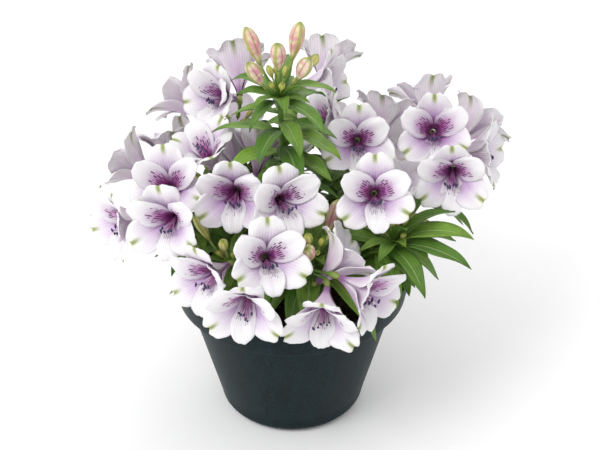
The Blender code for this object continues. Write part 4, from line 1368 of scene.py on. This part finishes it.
def make_soil():
    """The soil's plug: its lumpy top, which calms down in the last 4 mm, and its side along the pot."""
    radii = np.linspace(0.0, SOIL_RADIUS, SOIL_RINGS)
    top = turned_points(np.stack([radii, soil_height(radii) - SUNK], axis=1), SOIL_TURNS)
    calm = np.clip((SOIL_RADIUS - radii) / (4 * MM), 0, 1)
    top[..., 2] += lumps(top[..., 0], top[..., 1]) * calm[:, None]
    ledge_radius = BAND_RADIUS - WALL - 3 * CLEARANCE
    shoulder_radius = SHOULDER_RADIUS - WALL - 2 * CLEARANCE
    side = [(ledge_radius, BAND_FOOT + LEDGE_RISE + CLEARANCE), (shoulder_radius, BAND_FOOT + WALL)]
    foot = foot_arc(WALL + 2 * CLEARANCE) + (0, FLOOR - WALL + CLEARANCE)
    side = np.vstack([side, foot, [(0.0, SOIL_LOW.z)]])
    points = np.vstack([top, turned_points(side, SOIL_TURNS)])
    soil = make_piece("soil_plug", [grid_part(points)], [PEAT], ["soil"])
    print("soil of", len(soil.data.polygons), "faces")


make_soil()

# %% Crumbs
CRUMBS = 420
PERLITE_EVERY = 12


def make_crumbs():
    """Crumbs and grains of perlite: balls of 40 faces, dented by 1 + 0.25 sin(3 p + a) cos(2 q + b) at
    the angles p down from the pole and q round it, and stretched each way by chance."""
    luck = np.random.default_rng(22)
    down = np.linspace(0, math.pi, 6)[:, None]
    round_it = np.linspace(0, 2 * math.pi, 9)[None, :]
    level = np.cos(down) + 0 * round_it
    ball = np.stack([np.sin(down) * np.cos(round_it), np.sin(down) * np.sin(round_it), level], axis=-1)
    ball[:, -1] = ball[:, 0]
    crumbs = []
    for number in range(CRUMBS):
        spot, turn = SOIL_RADIUS * 0.97 * math.sqrt(luck.uniform()), luck.uniform(0, FULL_TURN)
        white = number % PERLITE_EVERY == 0
        size = luck.uniform(0.8, 1.6) * MM if white else luck.uniform(0.7, 2.2) * MM
        stretch = luck.uniform(0.6, 1.4, 3)
        dent = 1 + 0.25 * np.sin(3 * down + luck.uniform(0, 6)) * np.cos(2 * round_it + luck.uniform(0, 6))
        dent[:, -1] = dent[:, 0]
        dent[[0, -1]] = 1.0
        place = np.array([spot * math.cos(turn), spot * math.sin(turn), 0.0])
        place[2] = soil_height(spot) + lumps(place[0], place[1]) + size * 0.3
        crumbs.append(grid_part(ball * dent[..., None] * size * stretch + place, slot=int(white)))
    make_piece("soil_crumbs", crumbs, [PEAT, PERLITE])
    print(len(crumbs), "crumbs")


make_crumbs()

# %% [markdown]
# ## Floor
# A wide, plain, nearly white floor, which isn't part of the object.

# %% Floor
FLOOR_SIZE = 12.0
FLOOR_GAP = 0.4 * MM
bpy.ops.mesh.primitive_plane_add(size=FLOOR_SIZE, location=(0.0, 0.0, -FLOOR_GAP))
FLOOR_PLANE = bpy.context.object
FLOOR_PLANE.name = "studio_floor"
PAPER, _, paper_shader, _ = new_material("white_paper", 0.9, 0.2)
paper_shader.inputs["Base Color"].default_value = linear("#FAFAFA")
FLOOR_PLANE.data.materials.append(PAPER)
print("floor", FLOOR_SIZE, "m wide")
